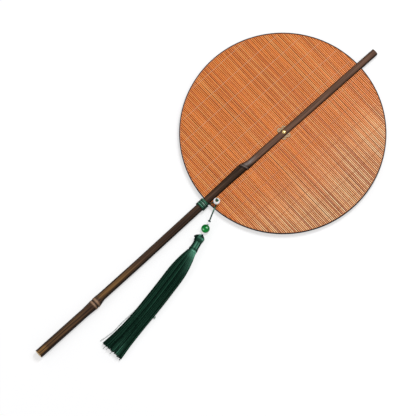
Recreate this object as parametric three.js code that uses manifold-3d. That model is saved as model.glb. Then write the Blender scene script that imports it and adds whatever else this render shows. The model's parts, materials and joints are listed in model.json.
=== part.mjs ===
/**
 * A rigid round hand fan. A disc of bamboo splints sits in the split of a bamboo stick and is
 * pinned there by a brass rivet. A cord binding just below the disc stops the split; its tail
 * holds a white bead, and from the bead hang a jade bead and a silk tassel.
 *
 * Millimetres, +Z up. The fan lies on its back on the plane Z = 0 with the stick along Y, the
 * tip at +Y, and the origin under the middle of the stick's length.
 */
import * as THREE from 'three';
import { mergeGeometries, mergeVertices } from 'three/addons/utils/BufferGeometryUtils.js';
import Module from 'manifold-3d';

const wasm = await Module();
wasm.setup();

// Clearances
const SEAT_GAP = 0.25;
const BORE_GAP = 0.3;
const THREAD_GAP = 0.15;
const RIM_GAP = 0.8;
const TABLE_GAP = 0.1;

// Bamboo stick: lengths along it, and its radius at each stretch
const HANDLE_LENGTH = 264;
const TIP_OVERHANG = 25;
const LOWER_NODE_ALONG = 89;
const UPPER_NODE_RISE = 58;
const BUTT_RADIUS = 5.45;
const LOWER_NODE_RADIUS = 6.5;
const GRIP_RADIUS = 5.1;
const BINDING_SEAT_RADIUS = 4.85;
const SHOULDER_RADIUS = 5.25;
const UPPER_NODE_RADIUS = 5.7;
const UPPER_RADIUS = 4.6;
const CENTRE_RADIUS = 4.25;
const CROWN_RADIUS = 4.6;
const CROWN_RISE = 84;
const TIP_RADIUS = 4.35;
const NODE_SWELL = 17;
const NODE_FALL = 9;
const NODE_MID_SHARE = 0.45;
const NODE_RIDGE_SPACING = 4.6;
const NODE_GROOVE_DEPTH = 0.45;
const STICK_EDGE = 0.4;
const STICK_SIDES = 24;

// How far the stick strays sideways from the disc's middle line at its butt, nodes, middle and tip
const BUTT_LEAN = 1.05;
const LOWER_NODE_LEAN = 1.4;
const GRIP_LEAN = 0.3;
const GRIP_STRAIGHT = 60;
const UPPER_NODE_LEAN = -1.4;
const UPPER_LEAN = 0.5;
const CENTRE_LEAN = 0.6;
const CROWN_LEAN = 1.2;
const TIP_LEAN = 1.65;

// Branch groove in the internode above the upper node
const GROOVE_LENGTH = 44;
const GROOVE_WIDTH = 3.6;
const GROOVE_DEPTH = 0.7;
const GROOVE_ANGLE = 142;

// Splint disc and its edge
const DISC_RADIUS = 120;
const SPLINT_WIDTH = 1.4;
const SPLINT_THICKNESS = 1.2;
const SPLINT_GAP = 0.55;
const HOOP_WIDTH = 1.0;
const HOOP_THICKNESS = 1.35;
const TAPE_THICKNESS = 0.4;
const TAPE_LAP = 1.7;
const RIM_SEGMENTS = 72;
const THREAD_COUNT = 12;
const THREAD_SPACING = 20;
const THREAD_THICKNESS = 0.4;

// Rivet and flower washers, a little past the middle of the disc
const RIVET_RISE = 1.2;
const POST_RADIUS = 1.0;
const STUD_RADIUS = 2.4;
const STUD_HEIGHT = 1.9;
const STUD_RIM = 0.4;
const SOCKET_DEPTH = 1.1;
const BACK_HEAD_RADIUS = 2.4;
const BACK_HEAD_HEIGHT = 1.0;
const SPOT_FACE_DEPTH = 0.5;
const WASHER_THICKNESS = 0.45;
const PETAL_COUNT = 6;
const PETAL_REACH = 5.5;
const PETAL_OVERLAP = 0.2;
const PETAL_HOLE_RADIUS = 1.45;
const PETAL_HOLE_REACH = 5.9;
const PETAL_TURN = 19;

// Cord binding and the white bead
const CORD_DIAMETER = 1.2;
const CORD_BEND = 2.4;
const STRAND_GAP = 0.3;
const BINDING_TURNS = 5.5;
const BINDING_TURN_GAP = 0.5;
const BINDING_LEAVE_ANGLE = 50;
const TURN_STEPS = 24;
const SPLIT_UNDER_BINDING = 6;
const WHITE_BEAD_RADIUS = 4;
const WHITE_BEAD_SIDE = 8.6;
const WHITE_BEAD_RISE = 7.8;
const BEND_IN_BEAD = 1.1;

// The tail between binding and bead: aside from its strand, along from the disc's edge, over its lay
const TAIL_POINTS = [[-0.7, 1.6, 0.3], [-0.1, 4.4, 0]];

// The knot in the bead's mouth
const STOPPER_LAP = 0.15;
const STOPPER_HEIGHT = 2.4;

// Pendant: its cord, knot and beads
const PENDANT_HEADING = 24.4;
const PENDANT_LAY = 14;
const PENDANT_REACH = 23.1;
const KNOT_RADIUS = 1.5;
const DROP_HEADING = 20.3;
const JADE_RADIUS = 5;
const SPACER_RADIUS = 1.6;
const SPACER_LENGTH = 3;
const HEAD_GAP = 0.5;

// Tassel: widths across it, heights off the table
const TASSEL_HEADING = 15.4;
const HEAD_LENGTH = 9.6;
const HEAD_WIDTH = 11;
const HEAD_HEIGHT = 9.2;
const HEAD_CORE_WIDTH = 9.2;
const LOBE_WIDTH = 5.4;
const LOBE_LENGTH = 6.5;
const LOBE_HEIGHT = 6.6;
const NECK_LENGTH = 13;
const NECK_WIDTH = 8.8;
const NECK_HEIGHT = 8.2;
const NECK_END_WIDTH = 10.6;
const NECK_STRAIGHT = 4.3;
const TIE_DIAMETER = 0.6;
const TIE_TURNS = 2;
const TIE_TURN_GAP = 0.5;
const TIE_FROM_NECK_END = 1.2;
const SKIRT_LENGTH = 148.5;
const SKIRT_HEADING = 13.1;
const SKIRT_CURL = 8;
const SKIRT_BODY_WIDTH = 21.4;
const SKIRT_BODY_HEIGHT = 9.6;
const SKIRT_END_WIDTH = 28;
const SKIRT_END_HEIGHT = 7;
const SKIRT_FLARE = 36;
const SKIRT_SPREAD = 56;
const SKIRT_FLUTES = 14;
const SKIRT_FLUTE_DEPTH = 0.06;

// Finishes
const DARK_BAMBOO = { color: 0x55402f, roughness: 0.5, metalness: 0 };
const SPLINT_BAMBOO = { color: 0xd98a4a, roughness: 0.6, metalness: 0 };
const BLACK_TAPE = { color: 0x1a1716, roughness: 0.85, metalness: 0 };
const PALE_THREAD = { color: 0xd9b68c, roughness: 0.9, metalness: 0 };
const BRASS = { color: 0xb9924f, roughness: 0.3, metalness: 1 };
const AGED_BRASS = { color: 0x9c8868, roughness: 0.45, metalness: 1 };
const GREEN_CORD = { color: 0x2c5a4a, roughness: 0.7, metalness: 0 };
const GREEN_SILK = { color: 0x16352a, roughness: 0.55, metalness: 0 };
const WHITE_GLAZE = { color: 0xf4f2ee, roughness: 0.15, metalness: 0 };
const JADE = { color: 0x0a7a36, roughness: 0.1, metalness: 0 };

// Heights and places worked out from the sizes above
const radians = THREE.MathUtils.degToRad;
const stickLength = HANDLE_LENGTH + 2 * DISC_RADIUS + TIP_OVERHANG;
const discAlong = HANDLE_LENGTH + DISC_RADIUS;
const upperNodeAlong = HANDLE_LENGTH + UPPER_NODE_RISE;
const cordRadius = CORD_DIAMETER / 2;
const bindingRadius = BINDING_SEAT_RADIUS + SEAT_GAP + cordRadius;
const bindingPitch = CORD_DIAMETER + BINDING_TURN_GAP;
const bindingTop = HANDLE_LENGTH - RIM_GAP - cordRadius;
const bindingBottom = bindingTop - BINDING_TURNS * bindingPitch;
const axisHeight = Math.max(LOWER_NODE_RADIUS, bindingRadius + cordRadius);
const tapeHalf = HOOP_THICKNESS / 2 + SEAT_GAP + TAPE_THICKNESS;
const washerLow = SPLINT_THICKNESS / 2 + SEAT_GAP;
const splitHalf = Math.max(tapeHalf, washerLow + WASHER_THICKNESS) + SEAT_GAP;
const studSeat = CENTRE_RADIUS - SPOT_FACE_DEPTH;
const splintPitch = SPLINT_WIDTH + SPLINT_GAP;
const hoopOuter = DISC_RADIUS - TAPE_THICKNESS - SEAT_GAP;
const hoopInner = hoopOuter - HOOP_WIDTH;
const threadLow = SPLINT_THICKNESS / 2 + THREAD_GAP;
const threadHigh = threadLow + THREAD_THICKNESS;
const layHeight = axisHeight + Math.max(tapeHalf, threadHigh) + SEAT_GAP + cordRadius;
const tieReach = NECK_HEIGHT / 2 + SEAT_GAP + TIE_DIAMETER;
const dropHeight = Math.max(JADE_RADIUS, tieReach, HEAD_HEIGHT / 2) + TABLE_GAP;

/** Y of a place given by its distance from the butt. */
const yAt = (along) => along - stickLength / 2;
const discY = yAt(discAlong);
const rivetY = discY + RIVET_RISE;

/** Value at a place on a line of [place, value] stations. */
function interpolate(stations, place) {
  const next = stations.findIndex((station) => station[0] >= place);
  if (next === -1) return stations.at(-1)[1];
  if (next === 0) return stations[0][1];
  const [from, to] = [stations[next - 1], stations[next]];
  return THREE.MathUtils.mapLinear(place, from[0], to[0], from[1], to[1]);
}

/** A copy of a geometry with every vertex sent through a map. */
function shaped(geometry, map) {
  const copy = geometry.clone();
  const position = copy.attributes.position;
  const point = new THREE.Vector3();
  for (let i = 0; i < position.count; i += 1) {
    map(point.fromBufferAttribute(position, i));
    position.setXYZ(i, point.x, point.y, point.z);
  }
  return copy;
}

/** A closed solid for cutting and joining. */
function solid(geometry) {
  const bare = geometry.clone();
  bare.deleteAttribute('normal');
  bare.deleteAttribute('uv');
  const merged = mergeVertices(bare);
  const corners = merged.index.array;
  const kept = [];
  for (let i = 0; i < corners.length; i += 3) {
    const [a, b, c] = corners.slice(i, i + 3);
    if (a !== b && b !== c && c !== a) kept.push(a, b, c);
  }
  return new wasm.Manifold(new wasm.Mesh({
    numProp: 3,
    vertProperties: merged.attributes.position.array,
    triVerts: new Uint32Array(kept),
  }));
}

/** The geometry of a solid. */
function surface(body) {
  const mesh = body.getMesh();
  const geometry = new THREE.BufferGeometry();
  geometry.setAttribute('position', new THREE.BufferAttribute(mesh.vertProperties, 3));
  geometry.setIndex(new THREE.BufferAttribute(mesh.triVerts, 1));
  return geometry;
}

/** One named sub-part with a finish of its own. */
function piece(name, geometry, finish) {
  const mesh = new THREE.Mesh(geometry, new THREE.MeshStandardMaterial(finish));
  mesh.name = name;
  return mesh;
}

/** A solid of revolution about Y from [radius, height] points, bottom to top. */
function turned(profile, segments) {
  const points = profile.map(([radius, height]) => new THREE.Vector2(radius, height));
  return new THREE.LatheGeometry(points, segments);
}

/** The same about Z. */
const turnedUpright = (profile, segments) => turned(profile, segments).rotateX(Math.PI / 2);

/** Points of a quarter-ellipse dome from its rim at the base up to its pole on the axis. */
function domeArc(radius, base, height, steps) {
  return Array.from({ length: steps + 1 }, (_, i) => {
    const angle = (Math.PI / 2) * (i / steps);
    const reach = i === steps ? 0 : radius * Math.cos(angle);
    return [reach, base + height * Math.sin(angle)];
  });
}

/** A closed profile of a bored round bead, its ends flat at the bore. */
function beadProfile(radius, bore, half, steps) {
  const limit = Math.acos(bore / radius);
  const bulge = half / Math.sin(limit);
  const arc = Array.from({ length: steps + 1 }, (_, i) => {
    const angle = limit * (2 * (i / steps) - 1);
    return [radius * Math.cos(angle), bulge * Math.sin(angle)];
  });
  return [...arc, arc[0]];
}

/** An upright cylinder for cutting, centred at a point. */
function drill(radius, length, x, y, z, segments = 16) {
  const bit = new THREE.CylinderGeometry(radius, radius, length, segments);
  return solid(bit.rotateX(Math.PI / 2).translate(x, y, z));
}

/** An ellipsoid from its three radii and its centre. */
function ellipsoid(radii, centre, segments = 10) {
  const ball = new THREE.SphereGeometry(1, segments, segments);
  return ball.scale(...radii).translate(...centre);
}

/** A smooth curve through points, divided finely enough for its length to be true. */
function smoothCurve(points) {
  const curve = new THREE.CatmullRomCurve3(points, false, 'centripetal');
  curve.arcLengthDivisions = 20 * points.length;
  return curve;
}

/** A round cord along a curve. */
function cordTube(curve, diameter, sides, step) {
  const corners = Array.from({ length: sides }, (_, i) => {
    const angle = (2 * Math.PI * i) / sides;
    return new THREE.Vector2(Math.cos(angle), Math.sin(angle)).multiplyScalar(diameter / 2);
  });
  return new THREE.ExtrudeGeometry(new THREE.Shape(corners), {
    steps: Math.round(curve.getLength() / step),
    bevelEnabled: false,
    extrudePath: curve,
  });
}

/** Prints the least gap between a winding's turns, measured on points of its centreline. */
function printLeastGap(name, curve, diameter) {
  const spacing = diameter / 4;
  const points = curve.getSpacedPoints(Math.round(curve.getLength() / spacing));
  const apart = Math.round((2 * Math.PI * diameter) / spacing);
  let least = Infinity;
  points.forEach((point, i) => {
    points.slice(i + apart).forEach((other) => {
      least = Math.min(least, point.distanceTo(other));
    });
  });
  console.log(`${name}: least gap to itself ${(least - diameter).toFixed(2)} mm`);
}

// Bamboo stick

/** The stick's sideways lean: its internodes are straight and it kinks at the nodes. */
const leanStations = [
  [0, BUTT_LEAN],
  [LOWER_NODE_ALONG, LOWER_NODE_LEAN],
  [LOWER_NODE_ALONG + NODE_FALL, GRIP_LEAN],
  [LOWER_NODE_ALONG + NODE_FALL + GRIP_STRAIGHT, GRIP_LEAN],
  [upperNodeAlong, UPPER_NODE_LEAN],
  [upperNodeAlong + NODE_FALL, UPPER_LEAN],
  [discAlong, CENTRE_LEAN],
  [discAlong + CROWN_RISE, CROWN_LEAN],
  [stickLength, TIP_LEAN],
];
const leanAt = (along) => interpolate(leanStations, along);

/** Rings of a bamboo node: a long swell, two ridges with a groove between, a short fall. */
function nodeRings(along, ridge, below, above) {
  const half = NODE_RIDGE_SPACING / 2;
  return [
    [along - NODE_SWELL, below],
    [along - NODE_SWELL / 2, THREE.MathUtils.lerp(below, ridge, NODE_MID_SHARE)],
    [along - half, ridge],
    [along, ridge - NODE_GROOVE_DEPTH],
    [along + half, ridge],
    [along + NODE_FALL, above],
  ];
}

/** [distance from the butt, radius] along the whole stick. */
const stickRings = [
  [0, BUTT_RADIUS - STICK_EDGE],
  [STICK_EDGE, BUTT_RADIUS],
  ...nodeRings(LOWER_NODE_ALONG, LOWER_NODE_RADIUS, BUTT_RADIUS, GRIP_RADIUS),
  [bindingBottom - CORD_DIAMETER, BINDING_SEAT_RADIUS],
  [bindingTop + CORD_DIAMETER, BINDING_SEAT_RADIUS],
  ...nodeRings(upperNodeAlong, UPPER_NODE_RADIUS, SHOULDER_RADIUS, UPPER_RADIUS),
  [discAlong - STUD_RADIUS - BORE_GAP, CENTRE_RADIUS],
  [discAlong + RIVET_RISE + STUD_RADIUS + BORE_GAP, CENTRE_RADIUS],
  [discAlong + CROWN_RISE, CROWN_RADIUS],
  [stickLength - STICK_EDGE, TIP_RADIUS],
  [stickLength, TIP_RADIUS - STICK_EDGE],
];

/** The split from the tip down to under the binding, which the disc sits in. */
function splitCut() {
  const start = HANDLE_LENGTH - SPLIT_UNDER_BINDING;
  const length = stickLength - start + STICK_EDGE;
  const slot = new THREE.BoxGeometry(4 * UPPER_NODE_RADIUS, length, 2 * splitHalf);
  return solid(slot.translate(0, yAt(start) + length / 2, axisHeight));
}

/** The long shallow hollow that a branch leaves above its node. */
function branchGroove() {
  const reach = UPPER_RADIUS + GROOVE_WIDTH / 2 - GROOVE_DEPTH;
  const side = reach * Math.cos(radians(GROOVE_ANGLE));
  const rise = reach * Math.sin(radians(GROOVE_ANGLE));
  const along = upperNodeAlong + NODE_FALL + GROOVE_LENGTH / 2;
  return solid(ellipsoid(
    [GROOVE_WIDTH / 2, GROOVE_LENGTH / 2, GROOVE_WIDTH / 2],
    [leanAt(along) + side, yAt(along), axisHeight + rise],
  ));
}

/** The stick: swelling at its nodes, split, grooved, drilled and spot-faced for the rivet. */
function bambooStick() {
  const profile = stickRings.map(([along, radius]) => [radius, along]);
  const lathe = turned([[0, 0], ...profile, [0, stickLength]], STICK_SIDES);
  const culm = shaped(lathe, (point) => {
    point.x += leanAt(point.y);
    point.y = yAt(point.y);
    point.z += axisHeight;
  });
  const boreLength = 4 * CENTRE_RADIUS;
  const spotRadius = Math.max(STUD_RADIUS, BACK_HEAD_RADIUS) + BORE_GAP;
  const spotCentre = studSeat + boreLength / 2;
  return surface(
    solid(culm)
      .subtract(splitCut())
      .subtract(branchGroove())
      .subtract(drill(POST_RADIUS + BORE_GAP, boreLength, CENTRE_LEAN, rivetY, axisHeight))
      .subtract(drill(spotRadius, boreLength, CENTRE_LEAN, rivetY, axisHeight + spotCentre))
      .subtract(drill(spotRadius, boreLength, CENTRE_LEAN, rivetY, axisHeight - spotCentre)),
  );
}

// Splint disc

/** The disc: a row of bamboo splints across the stick, carried at their ends by a thin hoop. */
function splintMat() {
  const splint = new THREE.CylinderGeometry(1, 1, 2 * DISC_RADIUS, 6).rotateY(Math.PI / 6);
  splint.scale(SPLINT_WIDTH / 2, 1, SPLINT_THICKNESS / 2 / Math.cos(Math.PI / 6));
  splint.rotateZ(Math.PI / 2);
  const lastSplint = hoopInner - SPLINT_GAP - SPLINT_WIDTH / 2;
  const splintsPerSide = Math.floor(lastSplint / splintPitch + 0.5);
  const row = [];
  for (let i = 0; i < splintsPerSide; i += 1) {
    const y = (i + 0.5) * splintPitch;
    row.push(splint.clone().translate(0, y, 0), splint.clone().translate(0, -y, 0));
  }
  const half = HOOP_THICKNESS / 2;
  const hoop = turnedUpright([
    [hoopInner, -half],
    [hoopOuter, -half],
    [hoopOuter, half],
    [hoopInner, half],
    [hoopInner, -half],
  ], RIM_SEGMENTS);
  const disc = solid(mergeGeometries(row))
    .intersect(drill(hoopInner + HOOP_WIDTH / 2, 2 * SPLINT_THICKNESS, 0, 0, 0, RIM_SEGMENTS))
    .add(solid(hoop))
    .subtract(drill(POST_RADIUS + BORE_GAP, 2 * SPLINT_THICKNESS, CENTRE_LEAN, RIVET_RISE, 0));
  return surface(disc).translate(0, discY, axisHeight);
}

/** The black tape folded over the hoop, a U in section. */
function edgeTape() {
  const lap = DISC_RADIUS - TAPE_LAP;
  const web = DISC_RADIUS - TAPE_THICKNESS;
  const inside = tapeHalf - TAPE_THICKNESS;
  const tape = turnedUpright([
    [lap, -tapeHalf],
    [DISC_RADIUS, -tapeHalf],
    [DISC_RADIUS, tapeHalf],
    [lap, tapeHalf],
    [lap, inside],
    [web, inside],
    [web, -inside],
    [lap, -inside],
    [lap, -tapeHalf],
  ], RIM_SEGMENTS);
  return tape.translate(0, discY, axisHeight);
}

/** Corners of a rectangle about the origin from its half length and half height. */
function rectangle(along, up) {
  return [
    new THREE.Vector2(-along, -up),
    new THREE.Vector2(along, -up),
    new THREE.Vector2(along, up),
    new THREE.Vector2(-along, up),
  ];
}

/** A warp thread: over all the splints in front, through the last gap, and back behind them. */
function warpThread(x) {
  const chord = Math.sqrt(hoopInner ** 2 - (Math.abs(x) + THREAD_THICKNESS) ** 2);
  const turn = splintPitch * Math.floor(chord / splintPitch - 0.5);
  const loop = new THREE.Shape(rectangle(turn + THREAD_THICKNESS / 2, threadHigh));
  loop.holes.push(new THREE.Path(rectangle(turn - THREAD_THICKNESS / 2, threadLow)));
  const strand = new THREE.ExtrudeGeometry(loop, { depth: THREAD_THICKNESS, bevelEnabled: false });
  const [alongX, alongY, alongZ] = [0, 1, 2].map((i) => new THREE.Vector3().setComponent(i, 1));
  strand.applyMatrix4(new THREE.Matrix4().makeBasis(alongY, alongZ, alongX));
  return strand.translate(x - THREAD_THICKNESS / 2, discY, axisHeight);
}

// Rivet and washers

/** A pierced flower washer lying flat, its lower face at a height from the disc's plane. */
function flowerWasher(low) {
  const bisector = Math.PI / PETAL_COUNT;
  const petalRadius = PETAL_REACH * Math.sin(bisector) + PETAL_OVERLAP;
  const halfChord = Math.sqrt(petalRadius ** 2 - (PETAL_REACH * Math.sin(bisector)) ** 2);
  const notch = PETAL_REACH * Math.cos(bisector) + halfChord;
  const sweep = Math.atan2(notch * Math.sin(bisector), notch * Math.cos(bisector) - PETAL_REACH);
  const outline = new THREE.Shape();
  for (let i = 0; i < PETAL_COUNT; i += 1) {
    const turn = radians(PETAL_TURN) + 2 * bisector * i;
    const [x, y] = [Math.cos(turn), Math.sin(turn)];
    outline.absarc(PETAL_REACH * x, PETAL_REACH * y, petalRadius, turn - sweep, turn + sweep);
    const hole = new THREE.Path();
    hole.absarc(PETAL_HOLE_REACH * x, PETAL_HOLE_REACH * y, PETAL_HOLE_RADIUS, 0, 2 * Math.PI);
    outline.holes.push(hole);
  }
  const bore = new THREE.Path();
  bore.absarc(0, 0, POST_RADIUS + BORE_GAP, 0, 2 * Math.PI);
  outline.holes.push(bore);
  const sheet = new THREE.ExtrudeGeometry(outline, {
    depth: WASHER_THICKNESS,
    curveSegments: 4,
    bevelEnabled: false,
  });
  return surface(solid(sheet)).translate(CENTRE_LEAN, rivetY, axisHeight + low);
}

/** The domed front of the rivet, hollow below for the end of the post. */
function domeStud() {
  const socket = POST_RADIUS + BORE_GAP;
  const stud = turnedUpright([
    [0, SOCKET_DEPTH],
    [socket, SOCKET_DEPTH],
    [socket, 0],
    [STUD_RADIUS, 0],
    ...domeArc(STUD_RADIUS, STUD_RIM, STUD_HEIGHT - STUD_RIM, 5),
  ], 20);
  return stud.translate(CENTRE_LEAN, rivetY, axisHeight + studSeat + SEAT_GAP);
}

/** The post of the rivet with its low round head at the back of the stick. */
function rivetPost() {
  const headTop = -(studSeat + SEAT_GAP);
  const postTop = studSeat + SOCKET_DEPTH;
  const head = domeArc(BACK_HEAD_RADIUS, 0, BACK_HEAD_HEIGHT, 4).reverse();
  const post = turnedUpright([
    ...head.map(([radius, height]) => [radius, headTop - height]),
    [POST_RADIUS, headTop],
    [POST_RADIUS, postTop],
    [0, postTop],
  ], 16);
  return post.translate(CENTRE_LEAN, rivetY, axisHeight);
}

// Binding and white bead: two strands, the binding's tail and the pendant cord, rise side by
// side through the bead and are knotted together above it

const strandOffset = cordRadius + STRAND_GAP / 2;
const beadY = yAt(HANDLE_LENGTH + WHITE_BEAD_RISE);
const bendOffset = CORD_BEND - Math.sqrt(CORD_BEND ** 2 - BEND_IN_BEAD ** 2);
const beadHole = strandOffset + cordRadius + bendOffset + BORE_GAP;
const beadHalf = Math.sqrt(WHITE_BEAD_RADIUS ** 2 - beadHole ** 2);
const beadHeight = layHeight + CORD_BEND - BEND_IN_BEAD + beadHalf;
const stopperRadius = beadHole + STOPPER_LAP;
const stopperDip = (STOPPER_HEIGHT / 2) * Math.sqrt(1 - (beadHole / stopperRadius) ** 2);
const stopperHeight = beadHeight + beadHalf + SEAT_GAP + stopperDip;
const strandTop = stopperHeight - STOPPER_HEIGHT / 2 - SEAT_GAP;

/** A strand's bend from its lay up into the bead: [distance from the strand, height] points. */
const strandRise = [90, 60, 30, 0].map((degrees) => [
  CORD_BEND * (1 - Math.cos(radians(degrees))),
  layHeight + CORD_BEND * (1 - Math.sin(radians(degrees))),
]);
strandRise.push([0, strandTop - CORD_DIAMETER], [0, strandTop]);

/** The binding's route: up the stick in a helix, off it beside the disc, up through the bead. */
function bindingCurve() {
  const steps = Math.round(BINDING_TURNS * TURN_STEPS);
  const helix = Array.from({ length: steps + 1 }, (_, i) => {
    const turnsLeft = BINDING_TURNS * (1 - i / steps);
    const angle = radians(BINDING_LEAVE_ANGLE) + 2 * Math.PI * turnsLeft;
    const along = bindingTop - bindingPitch * turnsLeft;
    return new THREE.Vector3(
      leanAt(along) + bindingRadius * Math.cos(angle),
      yAt(along),
      axisHeight + bindingRadius * Math.sin(angle),
    );
  });
  const start = helix[0].clone().sub(helix[1]).setLength(CORD_DIAMETER).add(helix[0]);
  const leave = helix.at(-1).clone().sub(helix.at(-2)).setLength(CORD_DIAMETER).add(helix.at(-1));
  const x = WHITE_BEAD_SIDE - strandOffset;
  const tail = [
    ...TAIL_POINTS.map(([aside, along, over]) => (
      new THREE.Vector3(x + aside, yAt(HANDLE_LENGTH + along), layHeight + over)
    )),
    ...strandRise.map(([distance, height]) => new THREE.Vector3(x, beadY - distance, height)),
  ];
  return smoothCurve([start, ...helix, leave, ...tail]);
}

/** The bored white bead, its hole upright. */
function whiteBead() {
  const bead = turnedUpright(beadProfile(WHITE_BEAD_RADIUS, beadHole, beadHalf, 10), 20);
  return bead.translate(WHITE_BEAD_SIDE, beadY, beadHeight);
}

/** The knot that sits in the bead's mouth. */
function stopperKnot() {
  const radii = [stopperRadius, stopperRadius, STOPPER_HEIGHT / 2];
  return ellipsoid(radii, [WHITE_BEAD_SIDE, beadY, stopperHeight], 10);
}

// Pendant

/** A point on the pendant cord from its distance from the bead and its height. */
function pendantPoint([distance, height]) {
  const heading = radians(PENDANT_HEADING);
  return new THREE.Vector3(
    WHITE_BEAD_SIDE + strandOffset + distance * Math.sin(heading),
    beadY - distance * Math.cos(heading),
    height,
  );
}

const knotCentre = pendantPoint([PENDANT_REACH, dropHeight]);

/** The pendant cord's route: down through the bead, flat over the rim, down to the knot. */
function pendantCurve() {
  const rim = pendantPoint([PENDANT_LAY, layHeight]);
  const fall = knotCentre.clone().sub(rim).normalize();
  const end = knotCentre.clone().addScaledVector(fall, -KNOT_RADIUS - SEAT_GAP);
  return smoothCurve([
    ...strandRise.map(pendantPoint).reverse(),
    pendantPoint([PENDANT_LAY / 2, layHeight]),
    rim,
    end.clone().addScaledVector(fall, -2 * CORD_DIAMETER),
    end.clone().addScaledVector(fall, -CORD_DIAMETER),
    end,
  ]);
}

/** The round knot at the end of the pendant cord, its centre at the origin. */
const cordKnot = () => ellipsoid([KNOT_RADIUS, KNOT_RADIUS, KNOT_RADIUS], [0, 0, 0], 12);

// Distances down the drop from the middle of the knot
const dropBore = cordRadius + BORE_GAP;
const jadeHalf = Math.sqrt(JADE_RADIUS ** 2 - dropBore ** 2);
const dropStart = KNOT_RADIUS + SEAT_GAP;
const upperSpacerAt = dropStart + SPACER_LENGTH / 2;
const jadeAt = upperSpacerAt + SPACER_LENGTH / 2 + SEAT_GAP + jadeHalf;
const lowerSpacerAt = jadeAt + jadeHalf + SEAT_GAP + SPACER_LENGTH / 2;
const dropEnd = lowerSpacerAt + SPACER_LENGTH / 2;
const headAt = dropEnd + HEAD_GAP;

/** The cord through the beads. */
function dropCord() {
  const length = dropEnd - dropStart;
  const cord = new THREE.CylinderGeometry(cordRadius, cordRadius, length, 8);
  return cord.translate(0, -dropStart - length / 2, 0);
}

/** A bored bead on the drop. */
function dropBead(radius, half, at, segments) {
  return turned(beadProfile(radius, dropBore, half, segments / 2), segments).translate(0, -at, 0);
}

// Tassel, down its own axis from the top of its head
const neckAt = HEAD_LENGTH + SEAT_GAP;
const neckEnd = neckAt + NECK_LENGTH;
const skirtAt = neckEnd + SEAT_GAP;

/** The head knot: a domed core that runs into the neck, with two folded lobes beside the cord. */
function tasselHead() {
  const half = HEAD_LENGTH / 2;
  const dome = domeArc(HEAD_CORE_WIDTH / 2, -half, half, 5);
  const core = turned([[0, -HEAD_LENGTH], [NECK_WIDTH / 2, -HEAD_LENGTH], ...dome], 16);
  core.scale(1, 1, HEAD_HEIGHT / HEAD_CORE_WIDTH);
  const lobeRadii = [LOBE_WIDTH, LOBE_LENGTH, LOBE_HEIGHT].map((size) => size / 2);
  const side = (HEAD_WIDTH - LOBE_WIDTH) / 2;
  return surface(
    solid(core)
      .add(solid(ellipsoid(lobeRadii, [side, -LOBE_LENGTH / 2, 0])))
      .add(solid(ellipsoid(lobeRadii, [-side, -LOBE_LENGTH / 2, 0]))),
  );
}

/** Half width of the neck at a distance down the tassel. */
function neckHalfWidth(down) {
  const share = THREE.MathUtils.smoothstep(down, neckAt + NECK_STRAIGHT, neckEnd);
  return THREE.MathUtils.lerp(NECK_WIDTH, NECK_END_WIDTH, share) / 2;
}

/** The satin neck, round at the head and wider where the skirt begins. */
function tasselNeck() {
  return shaped(new THREE.CylinderGeometry(1, 1, 1, 20, 5), (point) => {
    const down = neckAt + NECK_LENGTH * (0.5 - point.y);
    point.set(point.x * neckHalfWidth(down), -down, (point.z * NECK_HEIGHT) / 2);
  });
}

/** The tie's route: a few turns round the lower end of the neck. */
function tieCurve() {
  const steps = TURN_STEPS * TIE_TURNS;
  const pitch = TIE_DIAMETER + TIE_TURN_GAP;
  const offset = SEAT_GAP + TIE_DIAMETER / 2;
  const last = neckEnd - TIE_FROM_NECK_END;
  return smoothCurve(Array.from({ length: steps + 1 }, (_, i) => {
    const turns = TIE_TURNS * (i / steps);
    const down = last - pitch * (TIE_TURNS - turns);
    const angle = 2 * Math.PI * turns;
    const across = neckHalfWidth(down + pitch / 2) + offset;
    const up = NECK_HEIGHT / 2 + offset;
    return new THREE.Vector3(across * Math.cos(angle), -down, up * Math.sin(angle));
  }));
}

/** Half width of the skirt: it flares from the tie, runs straight, and spreads at its end. */
function skirtHalfWidth(down) {
  const flare = 1 - Math.max(0, 1 - down / SKIRT_FLARE) ** 2;
  const spread = Math.max(0, 1 - (SKIRT_LENGTH - down) / SKIRT_SPREAD) ** 2;
  const body = THREE.MathUtils.lerp(NECK_END_WIDTH, SKIRT_BODY_WIDTH, flare);
  return (body + (SKIRT_END_WIDTH - SKIRT_BODY_WIDTH) * spread) / 2;
}

/** Half height of the skirt: it swells from the tie and lies flatter towards its end. */
function skirtHalfHeight(down) {
  const swell = THREE.MathUtils.smoothstep(down, 0, SKIRT_FLARE);
  const settle = THREE.MathUtils.smoothstep(down, SKIRT_FLARE, SKIRT_LENGTH);
  const body = THREE.MathUtils.lerp(NECK_HEIGHT, SKIRT_BODY_HEIGHT, swell);
  return (body + (SKIRT_END_HEIGHT - SKIRT_BODY_HEIGHT) * settle) / 2;
}

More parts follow.
